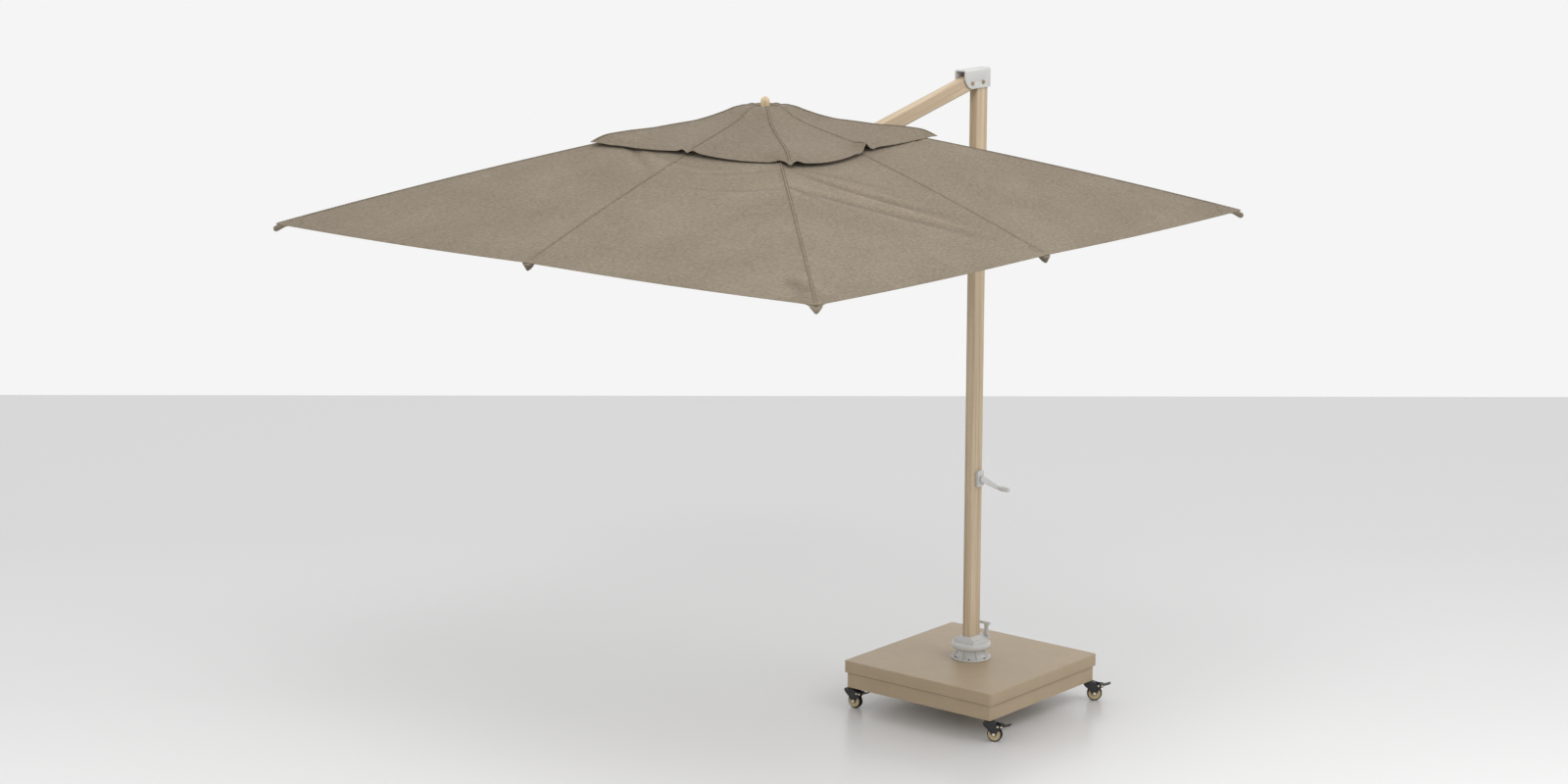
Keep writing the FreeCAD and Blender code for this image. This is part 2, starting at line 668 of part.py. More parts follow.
def caster_wheel():
    r, w, bore = WHEEL_R, WHEEL_W / 2, AXLE_R + RUNNING
    one_side = [(9, w), (11, w - 3), (23, w - 3), (26, w), (r - 5, w), (r - 1, w - 3), (r, w - 7)]
    near = [(bore, -w)] + [(radius, -z) for radius, z in one_side]
    far = one_side[::-1] + [(bore, w)]
    wheel = revolve(near + far)
    wheel.rotate(ORIGIN, X_AXIS, 90)
    wheel.translate(V(TRAIL, 0, WHEEL_R))
    return wheel


def caster_pedal():
    side = PEDAL_W / 2
    barrel = Part.makeCylinder(5.5, PEDAL_W, V(PEDAL_U, -side, PEDAL_Z), Y_AXIS)
    profile = [(0, 5), (22, 6), (49, 14), (50, 10), (24, 1), (0, -3)]
    outline = [V(PEDAL_U + du, -side, PEDAL_Z + dz) for du, dz in profile]
    plate = Part.Face(Part.makePolygon(outline + outline[:1])).extrude(V(0, PEDAL_W, 0))
    shoe = box(PEDAL_U - 8, PEDAL_U, -9, 9, PEDAL_Z - 4, PEDAL_Z + 1)
    pedal = fuse([barrel, plate, shoe])
    return pedal.cut(Part.makeCylinder(PEDAL_PIN_R + RUNNING, 60, V(PEDAL_U, -30, PEDAL_Z), Y_AXIS))


def main():
    os.makedirs("parts", exist_ok=True)
    plain = {
        "base_lid": base_lid, "base_tray": base_tray, "centre_post": centre_post,
        "ballast_slabs": ballast_slabs, "caster_stems": caster_stems, "hub_flange": hub_flange,
        "flange_bolts": flange_bolts, "mast_collar": mast_collar, "lever_pin": lever_pin,
        "lock_lever": lock_lever, "mast_tube": mast_tube, "head_bracket": head_bracket,
        "head_pins": head_pins, "boom_tube": boom_tube, "boom_end": boom_end,
        "canopy_post": canopy_post, "top_hub": top_hub, "hub_pins": hub_pins, "finial": finial,
        "crank_plate": crank_plate, "crank_arm": crank_arm, "winch_drum": winch_drum,
        "crank_grip": crank_grip, "runner": runner,
    }
    for name, make in plain.items():
        save(name, make())
    for name, angle in RIB_ANGLES.items():
        rib = forked_rib(angle) if name == "rear" else plain_rib(angle)
        save("rib_" + name, place(rib, angle))
        save("stretcher_" + name, place(stretcher(angle), angle))
        save("gore_" + name, gore(angle))
    for key in CASTERS:
        save("fork_" + key, caster_place(caster_fork(), key))
        save("wheel_" + key, caster_place(caster_wheel(), key))
        save("pedal_" + key, caster_place(caster_pedal(), key))


main()
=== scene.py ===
"""Cantilever patio umbrella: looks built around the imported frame.

Metres, in the frame's axes. Canopy shapes are written in plan coordinates (x, y) measured from
the canopy's own vertical axis, which the finial gives.
"""

import json
from math import atan2, cos, exp, pi, radians, sin, sqrt

import bmesh
import bpy
import numpy as np
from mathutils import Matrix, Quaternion, Vector


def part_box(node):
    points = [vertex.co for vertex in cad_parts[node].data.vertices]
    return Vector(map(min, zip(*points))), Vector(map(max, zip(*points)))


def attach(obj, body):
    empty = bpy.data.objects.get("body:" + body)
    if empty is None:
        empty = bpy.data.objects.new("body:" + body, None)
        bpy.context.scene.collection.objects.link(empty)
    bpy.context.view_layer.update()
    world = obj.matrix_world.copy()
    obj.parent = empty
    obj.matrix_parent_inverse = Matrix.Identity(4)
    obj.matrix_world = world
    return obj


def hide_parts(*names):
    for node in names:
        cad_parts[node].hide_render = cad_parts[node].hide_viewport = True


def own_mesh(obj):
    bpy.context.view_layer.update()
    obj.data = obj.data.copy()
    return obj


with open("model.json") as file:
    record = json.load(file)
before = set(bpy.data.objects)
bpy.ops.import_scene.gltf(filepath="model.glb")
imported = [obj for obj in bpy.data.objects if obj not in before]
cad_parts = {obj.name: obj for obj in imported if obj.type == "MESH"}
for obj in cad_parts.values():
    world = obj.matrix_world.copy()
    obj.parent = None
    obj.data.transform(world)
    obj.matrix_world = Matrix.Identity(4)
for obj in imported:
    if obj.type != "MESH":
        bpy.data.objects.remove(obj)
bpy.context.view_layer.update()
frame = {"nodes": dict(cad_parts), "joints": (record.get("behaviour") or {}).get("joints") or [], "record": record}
nodes = frame["nodes"]

# ---------------------------------------------------------------- places taken from the frame

finial_low, finial_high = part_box("finial")
CENTRE = Vector(((finial_low.x + finial_high.x) / 2, (finial_low.y + finial_high.y) / 2, 0))
HALF_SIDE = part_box("gore_right")[1].x
HUB_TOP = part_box("top_hub")[1].z
SQRT2 = sqrt(2)

# ---------------------------------------------------------------- canopy shape

CROWN_Z = HUB_TOP + 0.017            # the ribs' bow starts from this height over the axis
MID_SLOPE, MID_BOW = 0.265, 0.037
CORNER_SLOPE, CORNER_BOW = 0.1845, 0.0189
VENT_R = 0.36
PANEL_SAG = 0.007
CLOTH = 0.0012                       # fabric thickness
SLOT_EDGE = 0.033                    # half width of the boom's slot in the rear cloth
SLOT_END = 0.842
CAP_EYE_R = 0.0205                   # hole in the crown for the finial
CROWN_SHARE = 0.13                   # part of the cap that stays with the hub
# Radius and height of the vent cap's upper face, over a rib to the middle of a side or to a corner.
CAP_MID = ((0.02, 3.137), (0.05, 3.146), (0.08, 3.152), (0.12, 3.136), (0.16, 3.110),
           (0.25, 3.079), (0.36, 3.052), (0.48, 3.022), (0.548, 3.007))
CAP_CORNER = ((0.02, 3.137), (0.05, 3.146), (0.09, 3.153), (0.14, 3.141), (0.18, 3.124), (0.24, 3.103),
              (0.31, 3.084), (0.40, 3.071), (0.50, 3.055), (0.60, 3.046), (0.70, 3.032), (0.755, 3.004))
RIB_NAMES = ("right", "rear_right", "rear", "rear_left", "left", "front_left", "front", "front_right")
RIB_ANGLES = {name: radians(45 * i) for i, name in enumerate(RIB_NAMES)}


def is_corner(name):
    return "_" in name


def tip_radius(name):
    return HALF_SIDE * (SQRT2 if is_corner(name) else 1)


def outward(name):
    return np.array((cos(RIB_ANGLES[name]), sin(RIB_ANGLES[name])))


def sideways(name):
    return np.array((-sin(RIB_ANGLES[name]), cos(RIB_ANGLES[name])))


def neighbour(name, side):
    return RIB_NAMES[(RIB_NAMES.index(name) + side) % 8]


def smoothstep(low, high, value):
    t = np.clip((value - low) / (high - low), 0, 1)
    return t * t * (3 - 2 * t)


# Long soft valleys and ridges in the cloth: start, middle and end in plan, half width and height.
WRINKLES = (
    ((0.60, -0.515), (0.893, -0.36), (1.22, -0.08), 0.022, -0.0120),
    ((0.57, -0.51), (0.848, -0.335), (1.12, -0.13), 0.016, 0.0070),
    ((0.66, -0.74), (1.002, -0.45), (1.42, -0.09), 0.026, -0.0140),
    ((0.72, -0.51), (1.048, -0.321), (1.38, -0.07), 0.016, 0.0080),
    ((0.06, -0.68), (0.33, -0.64), (0.62, -0.54), 0.018, -0.0085),
    ((0.18, -0.80), (0.52, -0.76), (0.76, -0.67), 0.020, -0.0100),
    ((0.66, -0.70), (0.76, -0.67), (0.98, -0.64), 0.018, -0.0110),
    ((0.30, -0.93), (0.56, -0.92), (0.80, -0.80), 0.022, -0.0060),
    ((-0.40, -0.48), (-0.17, -0.61), (0.06, -0.78), 0.026, -0.0120),
    ((-0.28, -0.50), (0.08, -0.61), (0.32, -0.58), 0.018, -0.0080),
    ((0.40, 0.50), (0.95, 0.24), (1.46, 0.0), 0.028, -0.0100),
    ((-0.50, -0.56), (-0.40, -0.95), (-0.05, -1.46), 0.030, -0.0070),
    ((-0.56, 0.44), (-0.90, 0.32), (-1.42, 0.03), 0.028, -0.0110),
    ((-0.55, -0.42), (-0.95, -0.30), (-1.42, -0.04), 0.028, -0.0090),
    ((0.45, 0.56), (0.33, 0.96), (0.08, 1.42), 0.028, -0.0090),
    ((-0.45, 0.56), (-0.36, 0.96), (-0.08, 1.42), 0.028, -0.0090),
)


# Painted shade and painted highlight along the cloth's creases, put into the cloth's colour: start, middle and
# end, half width, change of tone (below zero painted shade, above zero painted highlight).
PAINTED_CREASE_TONES = (
    ((0.57, -0.51), (0.848, -0.335), (1.12, -0.13), 0.013, 0.17),
    ((0.58, -0.525), (0.893, -0.36), (1.24, -0.06), 0.023, -0.32),
    ((0.72, -0.51), (1.048, -0.321), (1.38, -0.07), 0.013, 0.19),
    ((0.64, -0.76), (1.002, -0.45), (1.44, -0.07), 0.025, -0.34),
    ((0.58, -0.48), (0.739, -0.315), (0.88, -0.20), 0.016, -0.20),
    ((0.06, -0.69), (0.33, -0.65), (0.62, -0.55), 0.013, -0.26),
    ((0.18, -0.81), (0.52, -0.772), (0.76, -0.68), 0.014, -0.30),
    ((0.66, -0.705), (0.76, -0.676), (0.98, -0.64), 0.014, -0.30),
    ((1.24, -1.38), (1.39, -1.44), (1.54, -1.53), 0.034, -0.36),
    ((-0.40, -0.49), (-0.17, -0.62), (0.06, -0.79), 0.020, -0.22),
    ((-0.28, -0.51), (0.08, -0.62), (0.32, -0.59), 0.013, -0.13),
)


def near_path(x, y, start, middle, end):
    """Distance of plan points from a curve, and how far along it they lie."""
    a, b, c = (np.array(p) for p in (start, middle, end))
    control = 2 * b - (a + c) / 2
    path = [(1 - t) ** 2 * a + 2 * t * (1 - t) * control + t * t * c for t in np.linspace(0, 1, 13)]
    best, place = np.full(x.shape, 9.0), np.zeros_like(x)
    for i in range(len(path) - 1):
        step = path[i + 1] - path[i]
        t = np.clip(((x - path[i][0]) * step[0] + (y - path[i][1]) * step[1]) / (step @ step), 0, 1)
        away = np.hypot(x - path[i][0] - t * step[0], y - path[i][1] - t * step[1])
        closer = away < best
        best = np.where(closer, away, best)
        place = np.where(closer, (i + t) / (len(path) - 1), place)
    return best, place


def soft_bands(x, y, bands):
    """Sum of soft bands along curves, each fading at both of its ends."""
    total = np.zeros_like(x)
    for start, middle, end, width, strength in bands:
        best, place = near_path(x, y, start, middle, end)
        fade = smoothstep(0, 0.2, place) * (1 - smoothstep(0.6, 1, place))
        spread = width * (0.8 + 0.5 * place)
        core = np.exp(-(best / spread) ** 2)
        shoulder = np.exp(-(best / (2.2 * spread)) ** 2)
        total += strength * fade * (core - 0.4 * shoulder)
    return total


def cloth_z(x, y, wrinkled=True):
    """Height of the main cloth's upper face at plan points, the same for every piece of it."""
    x, y = np.asarray(x, float), np.asarray(y, float)
    ax, ay = np.abs(x), np.abs(y)
    d = np.maximum(ax, ay)
    share = np.minimum(ax, ay) / np.maximum(d, 1e-9)
    r = d * SQRT2
    middle = CROWN_Z - MID_SLOPE * d - MID_BOW * d * d
    corner = CROWN_Z - CORNER_SLOPE * r - CORNER_BOW * r * r
    sag = PANEL_SAG * np.sin(pi * share) * (0.3 + 0.7 * d / HALF_SIDE)
    z = middle * (1 - share) + corner * share - sag
    return z + soft_bands(x, y, WRINKLES) if wrinkled else z


def rib_plan(name, share):
    """Plan point on a rib at a share of its way from the vent to its tip."""
    return outward(name) * (VENT_R + (tip_radius(name) - VENT_R) * share)


PROFILE_STEPS, PROFILE_SOFTENING = 200, 8


def cap_profile(name, share):
    """Radius and height of the vent cap over a rib, at a share of its way from the crown to the tip."""
    points = CAP_CORNER if is_corner(name) else CAP_MID
    radii, heights = zip(*points)
    r = CAP_EYE_R + (radii[-1] - CAP_EYE_R) * share
    fine = np.linspace(0, radii[-1], PROFILE_STEPS)
    raw = np.interp(fine, radii, heights)
    kernel = np.hanning(2 * PROFILE_SOFTENING + 1)
    soft = np.convolve(np.pad(raw, PROFILE_SOFTENING, mode="edge"), kernel / kernel.sum(), mode="valid")
    soft += np.linspace(0, 1, PROFILE_STEPS) ** 30 * (heights[-1] - soft[-1])
    return r, float(np.interp(r, fine, soft))


CAP_SAG, CAP_TWIST = 0.008, radians(2.6)
# How far each panel's loose edge bows outward, and how far it hangs, halfway between its two ribs.
CAP_EDGE = {
    frozenset(("front_right", "right")): (0.075, 0.016), frozenset(("front", "front_right")): (0.03, 0.008),
    frozenset(("right", "rear_right")): (-0.01, 0.004), frozenset(("rear_right", "rear")): (-0.02, 0.006),
}
CAP_EDGE_OTHERWISE = (-0.015, 0.006)
# Kinks beside the ribs: rise at the rib, its width, rise beside it, its distance and width, outward point.
CAP_KINKS = {
    "right": (0.018, 0.019, -0.008, 0.060, 0.030, 0.0),
    "front_right": (-0.012, 0.012, 0.007, 0.038, 0.020, 0.026),
    "front": (-0.009, 0.012, 0.006, 0.034, 0.018, 0.006),
    "rear_right": (-0.004, 0.016, -0.004, 0.05, 0.03, 0.020),
    "front_left": (-0.004, 0.016, -0.004, 0.05, 0.03, 0.020),
}
CAP_KINK_OTHERWISE = (0.006, 0.016, -0.006, 0.05, 0.03, 0.008)
KINK_START = 0.84                    # share of the cap's way out at which its kinks begin
POINT_WIDTH = 0.026                  # width of the point that the edge makes at a rib


def cap_point(own, side, share, across):
    """Point of the vent cap between a rib (across 0) and the middle of the panel beside it (across 1)."""
    other = neighbour(own, side)
    (r0, z0), (r1, z1) = cap_profile(own, share), cap_profile(other, share)
    t = across / 2
    plan = outward(own) * r0 * (1 - t) + outward(other) * r1 * t
    belly = 4 * t * (1 - t)
    bow, hang = CAP_EDGE.get(frozenset((own, other)), CAP_EDGE_OTHERWISE)
    plan = plan * (1 + bow * belly * share ** 4)
    z = z0 * (1 - t) + z1 * t - CAP_SAG * belly * share - hang * belly * share ** 4
    lateral = abs(plan @ sideways(own))
    top, width, dip, away, spread, point = CAP_KINKS.get(own, CAP_KINK_OTHERWISE)
    end = float(smoothstep(KINK_START, 1.0, share))
    plan = plan + outward(own) * point * end * exp(-(lateral / POINT_WIDTH) ** 2)
    z += end * (top * exp(-(lateral / width) ** 2) + dip * exp(-((lateral - away) / spread) ** 2))
    turn = CAP_TWIST * float(smoothstep(0.1, 0.8, share))
    x, y = plan
    return float(x * cos(turn) - y * sin(turn)), float(x * sin(turn) + y * cos(turn)), float(z)


# ---------------------------------------------------------------- mesh helpers

def add_object(name, mesh, material, body):
    piece = bpy.data.objects.new(name, mesh)
    bpy.context.scene.collection.objects.link(piece)
    for m in material if isinstance(material, (list, tuple)) else [material]:
        mesh.materials.append(m)
    if body:
        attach(piece, body)
    return piece


def shade(mesh, smooth=True, sharp_angle=radians(40)):
    mesh.polygons.foreach_set("use_smooth", [smooth] * len(mesh.polygons))
    if smooth:
        mesh.set_sharp_from_angle(angle=sharp_angle)


def closed_mesh(name, points, faces, sharp_angle=radians(40)):
    mesh = bpy.data.meshes.new(name)
    mesh.from_pydata([tuple(p) for p in points], [], faces)
    bm = bmesh.new()
    bm.from_mesh(mesh)
    bmesh.ops.recalc_face_normals(bm, faces=bm.faces)
    bm.to_mesh(mesh)
    bm.free()
    shade(mesh, True, sharp_angle)
    return mesh


def loft_data(rings, cap=True, start=0):
    """Points and faces of a tube through rings of equally many points."""
    n = len(rings[0])
    points = [p for ring in rings for p in ring]
    faces = []
    for i in range(len(rings) - 1):
        for j in range(n):
            a, b = start + i * n + j, start + i * n + (j + 1) % n
            faces.append((a, b, b + n, a + n))
    if cap:
        faces.append(tuple(range(start + n - 1, start - 1, -1)))
        last = start + (len(rings) - 1) * n
        faces.append(tuple(range(last, last + n)))
    return points, faces


def loft(name, rings, material, body, sharp_angle=radians(40)):
    points, faces = loft_data(rings)
    return add_object(name, closed_mesh(name, points, faces, sharp_angle), material, body)


def many(name, tubes, material, body):
    """One mesh of several lofted tubes."""
    points, faces = [], []
    for rings in tubes:
        p, f = loft_data(rings, start=len(points))
        points += p
        faces += f
    return add_object(name, closed_mesh(name, points, faces), material, body)


def turned(profile, centre, axis, count=40):
    """Rings of a shape turned about an axis: profile of (radius, distance along the axis)."""
    axis = Vector(axis).normalized()
    first = axis.orthogonal().normalized()
    second = axis.cross(first)
    rings = []
    for radius, along in profile:
        ring = []
        for k in range(count):
            swing = 2 * pi * k / count
            spot = Vector(centre) + axis * along + (first * cos(swing) + second * sin(swing)) * radius
            ring.append(tuple(spot))
        rings.append(ring)
    return rings


def sheet_mesh(name, grid, creased=False):
    """Closed thin mesh from a grid of upper-face points, rows by columns by 3."""
    rows, cols = grid.shape[:2]
    top = grid.reshape(-1, 3)
    low = top - np.array((0, 0, CLOTH))
    points = np.concatenate([top, low])
    n = rows * cols
    index = np.arange(n).reshape(rows, cols)
    a, b, c, d = index[:-1, :-1], index[1:, :-1], index[1:, 1:], index[:-1, 1:]
    upper = np.stack([a, b, c, d], -1).reshape(-1, 4)
    faces = [tuple(int(v) for v in f) for f in upper]
    faces += [tuple(int(v) + n for v in f[::-1]) for f in upper]
    rim = list(index[0, :]) + list(index[1:, -1]) + list(index[-1, -2::-1]) + list(index[-2:0:-1, 0])
    for i, v in enumerate(rim):
        w = rim[(i + 1) % len(rim)]
        faces.append((int(v), int(w), int(w) + n, int(v) + n))
    mesh = bpy.data.meshes.new(name)
    mesh.from_pydata([tuple(p) for p in points.tolist()], [], faces)
    bm = bmesh.new()
    bm.from_mesh(mesh)
    bmesh.ops.recalc_face_normals(bm, faces=bm.faces)
    bm.to_mesh(mesh)
    bm.free()
    shade(mesh, True, radians(50))
    # painted shade in the crease valleys and painted highlight on the ridges, kept as a point attribute for the
    # cloth's colour
    tone = soft_bands(points[:, 0] - CENTRE.x, points[:, 1] - CENTRE.y, PAINTED_CREASE_TONES if creased else ())
    mesh.attributes.new("crease", "FLOAT", "POINT").data.foreach_set("value", tone)
    return mesh


# ---------------------------------------------------------------- node materials

def new_material(name, roughness=0.5, metallic=0.0, specular=0.5):
    material = bpy.data.materials.new(name)
    material.use_nodes = True
    tree = material.node_tree
    shader = tree.nodes["Principled BSDF"]
    shader.inputs["Roughness"].default_value = roughness
    shader.inputs["Metallic"].default_value = metallic
    shader.inputs["Specular IOR Level"].default_value = specular
    return material, tree, shader


def put(tree, kind, links=None, **settings):
    """Add a shader node: settings are its properties, links its inputs by name or number."""
    node = tree.nodes.new("ShaderNode" + kind)
    for key, value in settings.items():
        setattr(node, key, value)
    for key, value in (links or {}).items():
        if isinstance(value, bpy.types.NodeSocket):
            tree.links.new(value, node.inputs[key])
        else:
            node.inputs[key].default_value = value
    return node


def math_node(tree, operation, a, b=0.0, c=None):
    links = {0: a, 1: b}
    if c is not None:
        links[2] = c
    return put(tree, "Math", links, operation=operation).outputs[0]


def linear(value):
    """Linear share of light for an sRGB value from 0 to 255."""
    return ((value / 255 + 0.055) / 1.055) ** 2.4 if value > 10 else value / 255 / 12.92


def colour(r, g, b):
    """Linear colour of an sRGB triple given from 0 to 255."""
    return linear(r), linear(g), linear(b), 1.0


def scaled_noise(tree, vector, scale, size, detail=3.0, rough=0.55, distortion=0.0):
    """Noise stretched by a scale triple."""
    mapping = put(tree, "Mapping", {"Vector": vector, "Scale": scale})
    return put(tree, "TexNoise", {"Vector": mapping.outputs[0], "Scale": size, "Detail": detail,
                                  "Roughness": rough, "Distortion": distortion}).outputs["Fac"]


def blended(tree, *parts):
    """Sum of (value, weight) pairs."""
    weighed = [math_node(tree, "MULTIPLY", value, weight) for value, weight in parts]
    total = weighed[0]
    for value in weighed[1:]:
        total = math_node(tree, "ADD", total, value)
    return total


def ramp(tree, fac, stops):
    node = put(tree, "ValToRGB", {"Fac": fac})
    elements = node.color_ramp.elements
    while len(elements) < len(stops):
        elements.new(0.5)
    for element, (place, value) in zip(elements, stops):
        element.position = place
        element.color = value
    return node.outputs["Color"]


def bump(tree, shader, height, distance, strength=1.0):
    node = put(tree, "Bump", {"Height": height, "Distance": distance, "Strength": strength})
    tree.links.new(node.outputs[0], shader.inputs["Normal"])


def object_vector(tree):
    return put(tree, "TexCoord").outputs["Object"]


CLOTH_TONES = ((117, 106, 91), (133, 122, 106), (148, 137, 120))      # dark, middle and light threads
THREAD_SCALE = 190.0
SLUB, PLAIN = 44, 230                # noise scale along a slubby thread and across it


def fabric(name, tone=1.0):
    """Slubby woven outdoor cloth: threads along x and y, the bolder one along the nearest edge."""
    dark, mid, light = (colour(r * tone, g * tone, b * tone) for r, g, b in CLOTH_TONES)
    material, tree, shader = new_material(name, roughness=0.9, specular=0.12)
    shader.inputs["Sheen Weight"].default_value = 0.08
    shader.inputs["Sheen Roughness"].default_value = 0.45
    where = object_vector(tree)
    xyz = put(tree, "SeparateXYZ", {"Vector": where})
    local_y = math_node(tree, "SUBTRACT", xyz.outputs["Y"], CENTRE.y)
    end_panel = math_node(tree, "GREATER_THAN", math_node(tree, "ABSOLUTE", local_y),
                          math_node(tree, "ABSOLUTE", xyz.outputs["X"]))
    along_x = scaled_noise(tree, where, (SLUB, PLAIN, 60), 1.0, 4.0, 0.6)
    along_y = scaled_noise(tree, where, (PLAIN, SLUB, 60), 1.0, 4.0, 0.6)
    bold = put(tree, "Mix", {"Factor": end_panel, "A": along_y, "B": along_x}).outputs[0]
    fine = put(tree, "Mix", {"Factor": end_panel, "A": along_x, "B": along_y}).outputs[0]
    cloudy = scaled_noise(tree, where, (3.2, 3.2, 3.2), 1.0, 3.0)
    mixed = blended(tree, (bold, 0.58), (fine, 0.24), (cloudy, 0.18))
    woven = ramp(tree, mixed, ((0.37, dark), (0.5, mid), (0.63, light)))
    # painted shade and painted highlight: the crease attribute scales the woven colour down in the valleys and up
    # on the ridges
    crease = put(tree, "Attribute", attribute_name="crease").outputs["Fac"]
    change = math_node(tree, "ADD", crease, 1.0)
    tinted = put(tree, "VectorMath", {0: woven, "Scale": change}, operation="SCALE")
    tree.links.new(tinted.outputs["Vector"], shader.inputs["Base Color"])
    threads = {"Vector": where, "Scale": THREAD_SCALE, "Distortion": 0.6, "Detail": 1.0}
    warp = put(tree, "TexWave", threads, bands_direction="X").outputs["Fac"]
    weft = put(tree, "TexWave", threads, bands_direction="Y").outputs["Fac"]
    weave = math_node(tree, "MULTIPLY", warp, weft)
    height = math_node(tree, "ADD", math_node(tree, "MULTIPLY", weave, 0.25), bold)
    bump(tree, shader, height, 0.0014, 1.0)
    return material


def wood_look(name, dark, mid, light, tilt=0.0):
    """Wood-grain transfer on aluminium, with its grain along Z before a tilt about X."""
    material, tree, shader = new_material(name, roughness=0.46, specular=0.4)
    where = put(tree, "Mapping", {"Vector": object_vector(tree), "Rotation": (tilt, 0, 0)}).outputs[0]
    broad = scaled_noise(tree, where, (38, 38, 0.9), 1.0, 3.0, 0.5, 0.4)
    fine = scaled_noise(tree, where, (260, 260, 3.2), 1.0, 4.0, 0.6, 0.2)
    pores = scaled_noise(tree, where, (620, 620, 9.0), 1.0, 2.0, 0.6)
    mixed = blended(tree, (broad, 0.5), (fine, 0.38), (pores, 0.12))
    grain = ramp(tree, mixed, ((0.34, dark), (0.5, mid), (0.66, light)))
    tree.links.new(grain, shader.inputs["Base Color"])
    bump(tree, shader, math_node(tree, "ADD", fine, pores), 0.00012, 0.6)
    return material


def coated(name, base, rough=0.45, variation=0.05, grain=420.0, depth=0.00008, metallic=0.0, specular=0.5):
    """Paint, cast or moulded finish: faint cloudy tone, worn roughness and an orange-peel surface."""
    material, tree, shader = new_material(name, rough, metallic, specular)
    where = object_vector(tree)
    cloudy = scaled_noise(tree, where, (9, 9, 9), 1.0, 4.0)
    low = tuple(c * (1 - variation) for c in base[:3]) + (1.0,)
    high = tuple(min(1, c * (1 + variation)) for c in base[:3]) + (1.0,)
    tree.links.new(ramp(tree, cloudy, ((0.3, low), (0.7, high))), shader.inputs["Base Color"])
    worn = put(tree, "MapRange", {"Value": scaled_noise(tree, where, (30, 30, 30), 1.0, 3.0),
                                  "To Min": rough - 0.07, "To Max": rough + 0.07}).outputs[0]
    tree.links.new(worn, shader.inputs["Roughness"])
    peel = put(tree, "TexNoise", {"Vector": where, "Scale": grain, "Detail": 2.0}).outputs["Fac"]
    bump(tree, shader, peel, depth, 0.7)
    return material


canopy_cloth = fabric("canopy_cloth")
cap_cloth = fabric("cap_cloth", 0.97)
seam_cloth = fabric("seam_cloth", 0.93)
pocket_cloth = fabric("pocket_cloth", 0.97)
# darker copy of the cloth: painted shade for the faces of the rib-end nubs that tilt down or out
nub_painted_shade_cloth = fabric("nub_painted_shade_cloth", 0.76)
thread = coated("stitch_thread", colour(66, 54, 40), 0.8, 0.15, 900.0, 0.0002, specular=0.2)
mast_wood = wood_look("mast_wood_look", colour(165, 145, 117), colour(195, 175, 147), colour(214, 195, 167))
boom_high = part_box("boom_tube")[1]
casting_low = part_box("boom_end")[0]
CORNERS_PAST_ENDS = Vector((0, 0.040, 0.075))    # the corners' spacing less that of the boom's own ends
boom_run = boom_high - casting_low - CORNERS_PAST_ENDS
BOOM_TILT = atan2(boom_run.z, boom_run.y)
boom_wood = wood_look("boom_wood_look", colour(160, 140, 112), colour(191, 171, 144), colour(210, 191, 164),
                      pi / 2 - BOOM_TILT)
finial_wood = wood_look("finial_wood_look", colour(178, 156, 122), colour(201, 180, 148),
                        colour(215, 196, 166))
FINISHES = {
    "base_powder": coated("base_powder_coat", colour(172, 153, 126), 0.42, 0.03, 700.0, 0.00010),
    "frame_steel": coated("zinc_steel", colour(120, 120, 120), 0.4, 0.08, 300.0, 0.00005, metallic=0.7),
    "ballast_stone": coated("ballast_stone", colour(150, 147, 140), 0.85, 0.2, 160.0, 0.0006),
    "stem_steel": coated("stem_steel", colour(176, 160, 130), 0.38, 0.08, 500.0, 0.00004, metallic=0.35),
    "cast_white": coated("cast_white_coat", colour(203, 203, 201), 0.42, 0.03, 520.0, 0.00012),
    "dark_steel": coated("dark_bolt_steel", colour(30, 30, 30), 0.5, 0.1, 500.0, 0.00005),
    "wood_look_mast": mast_wood,
    "wood_look_boom": boom_wood,
    "bronze_pins": coated("bronze_pins", colour(158, 134, 104), 0.45, 0.1, 500.0, 0.00005, metallic=0.3),
    "finial_wood": finial_wood,
    "white_plastic": coated("white_plastic", colour(214, 214, 212), 0.38, 0.02, 600.0, 0.00006),
    "rib_metal": coated("rib_metal_coat", colour(196, 192, 184), 0.42, 0.05, 500.0, 0.00005, metallic=0.25),
    "canopy_fabric": canopy_cloth,
    "caster_black": coated("caster_black", colour(38, 38, 40), 0.45, 0.12, 600.0, 0.00012),
    "tyre_black": coated("tyre_rubber", colour(30, 29, 30), 0.7, 0.15, 420.0, 0.00020, specular=0.3),
}
for entry in frame["record"]["subparts"]:
    node = nodes[entry["node"]]
    node.data.materials.clear()
    node.data.materials.append(FINISHES[entry["material_slot"]])


# ---------------------------------------------------------------- canopy

def squash_with_rib(piece):
    """Give a piece its own copy of its mesh."""
    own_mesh(piece)


def to_frame(points):
    """Plan-based points to the frame."""
    return np.asarray(points, float) + np.array((CENTRE.x, CENTRE.y, 0))


def on_cloth(plan):
    """Plan points laid on the main cloth, in the frame."""
    return to_frame(np.concatenate([plan, cloth_z(plan[:, 0], plan[:, 1])[:, None]], 1))


def cloth_piece(name, mesh, material, body):
    return add_object(name, mesh, material, body)


def sewn(name, rings, material, body, sharp_angle=radians(40)):
    return loft(name, rings, material, body, sharp_angle)


def sewn_thread(name, dashes, body):
    return many(name, dashes, thread, body)


ACROSS = np.concatenate([[0, 0.012, 0.03], np.linspace(0.06, 0.97, 26), [0.997, 1.0]])
ALONG = np.concatenate([[0, 0.004], np.linspace(0.015, 0.985, 84), [0.996, 1.0]])


def half_gore(name, side, start=0.0):
    """Grid of the main cloth from its rib, or a line beside it, to the middle of a panel."""
    rows = []
    for share in ALONG:
        own = rib_plan(name, share)
        seam = (own + rib_plan(neighbour(name, side), share)) / 2
        if start:
            reach = abs((seam - own) @ sideways(name))
            own = own + (seam - own) * start / reach
        plan = own[None, :] + (seam - own)[None, :] * ACROSS[:, None]
        rows.append(plan)
    plan = np.array(rows)
    z = cloth_z(plan[..., 0], plan[..., 1])
    return np.concatenate([plan, z[..., None]], -1)


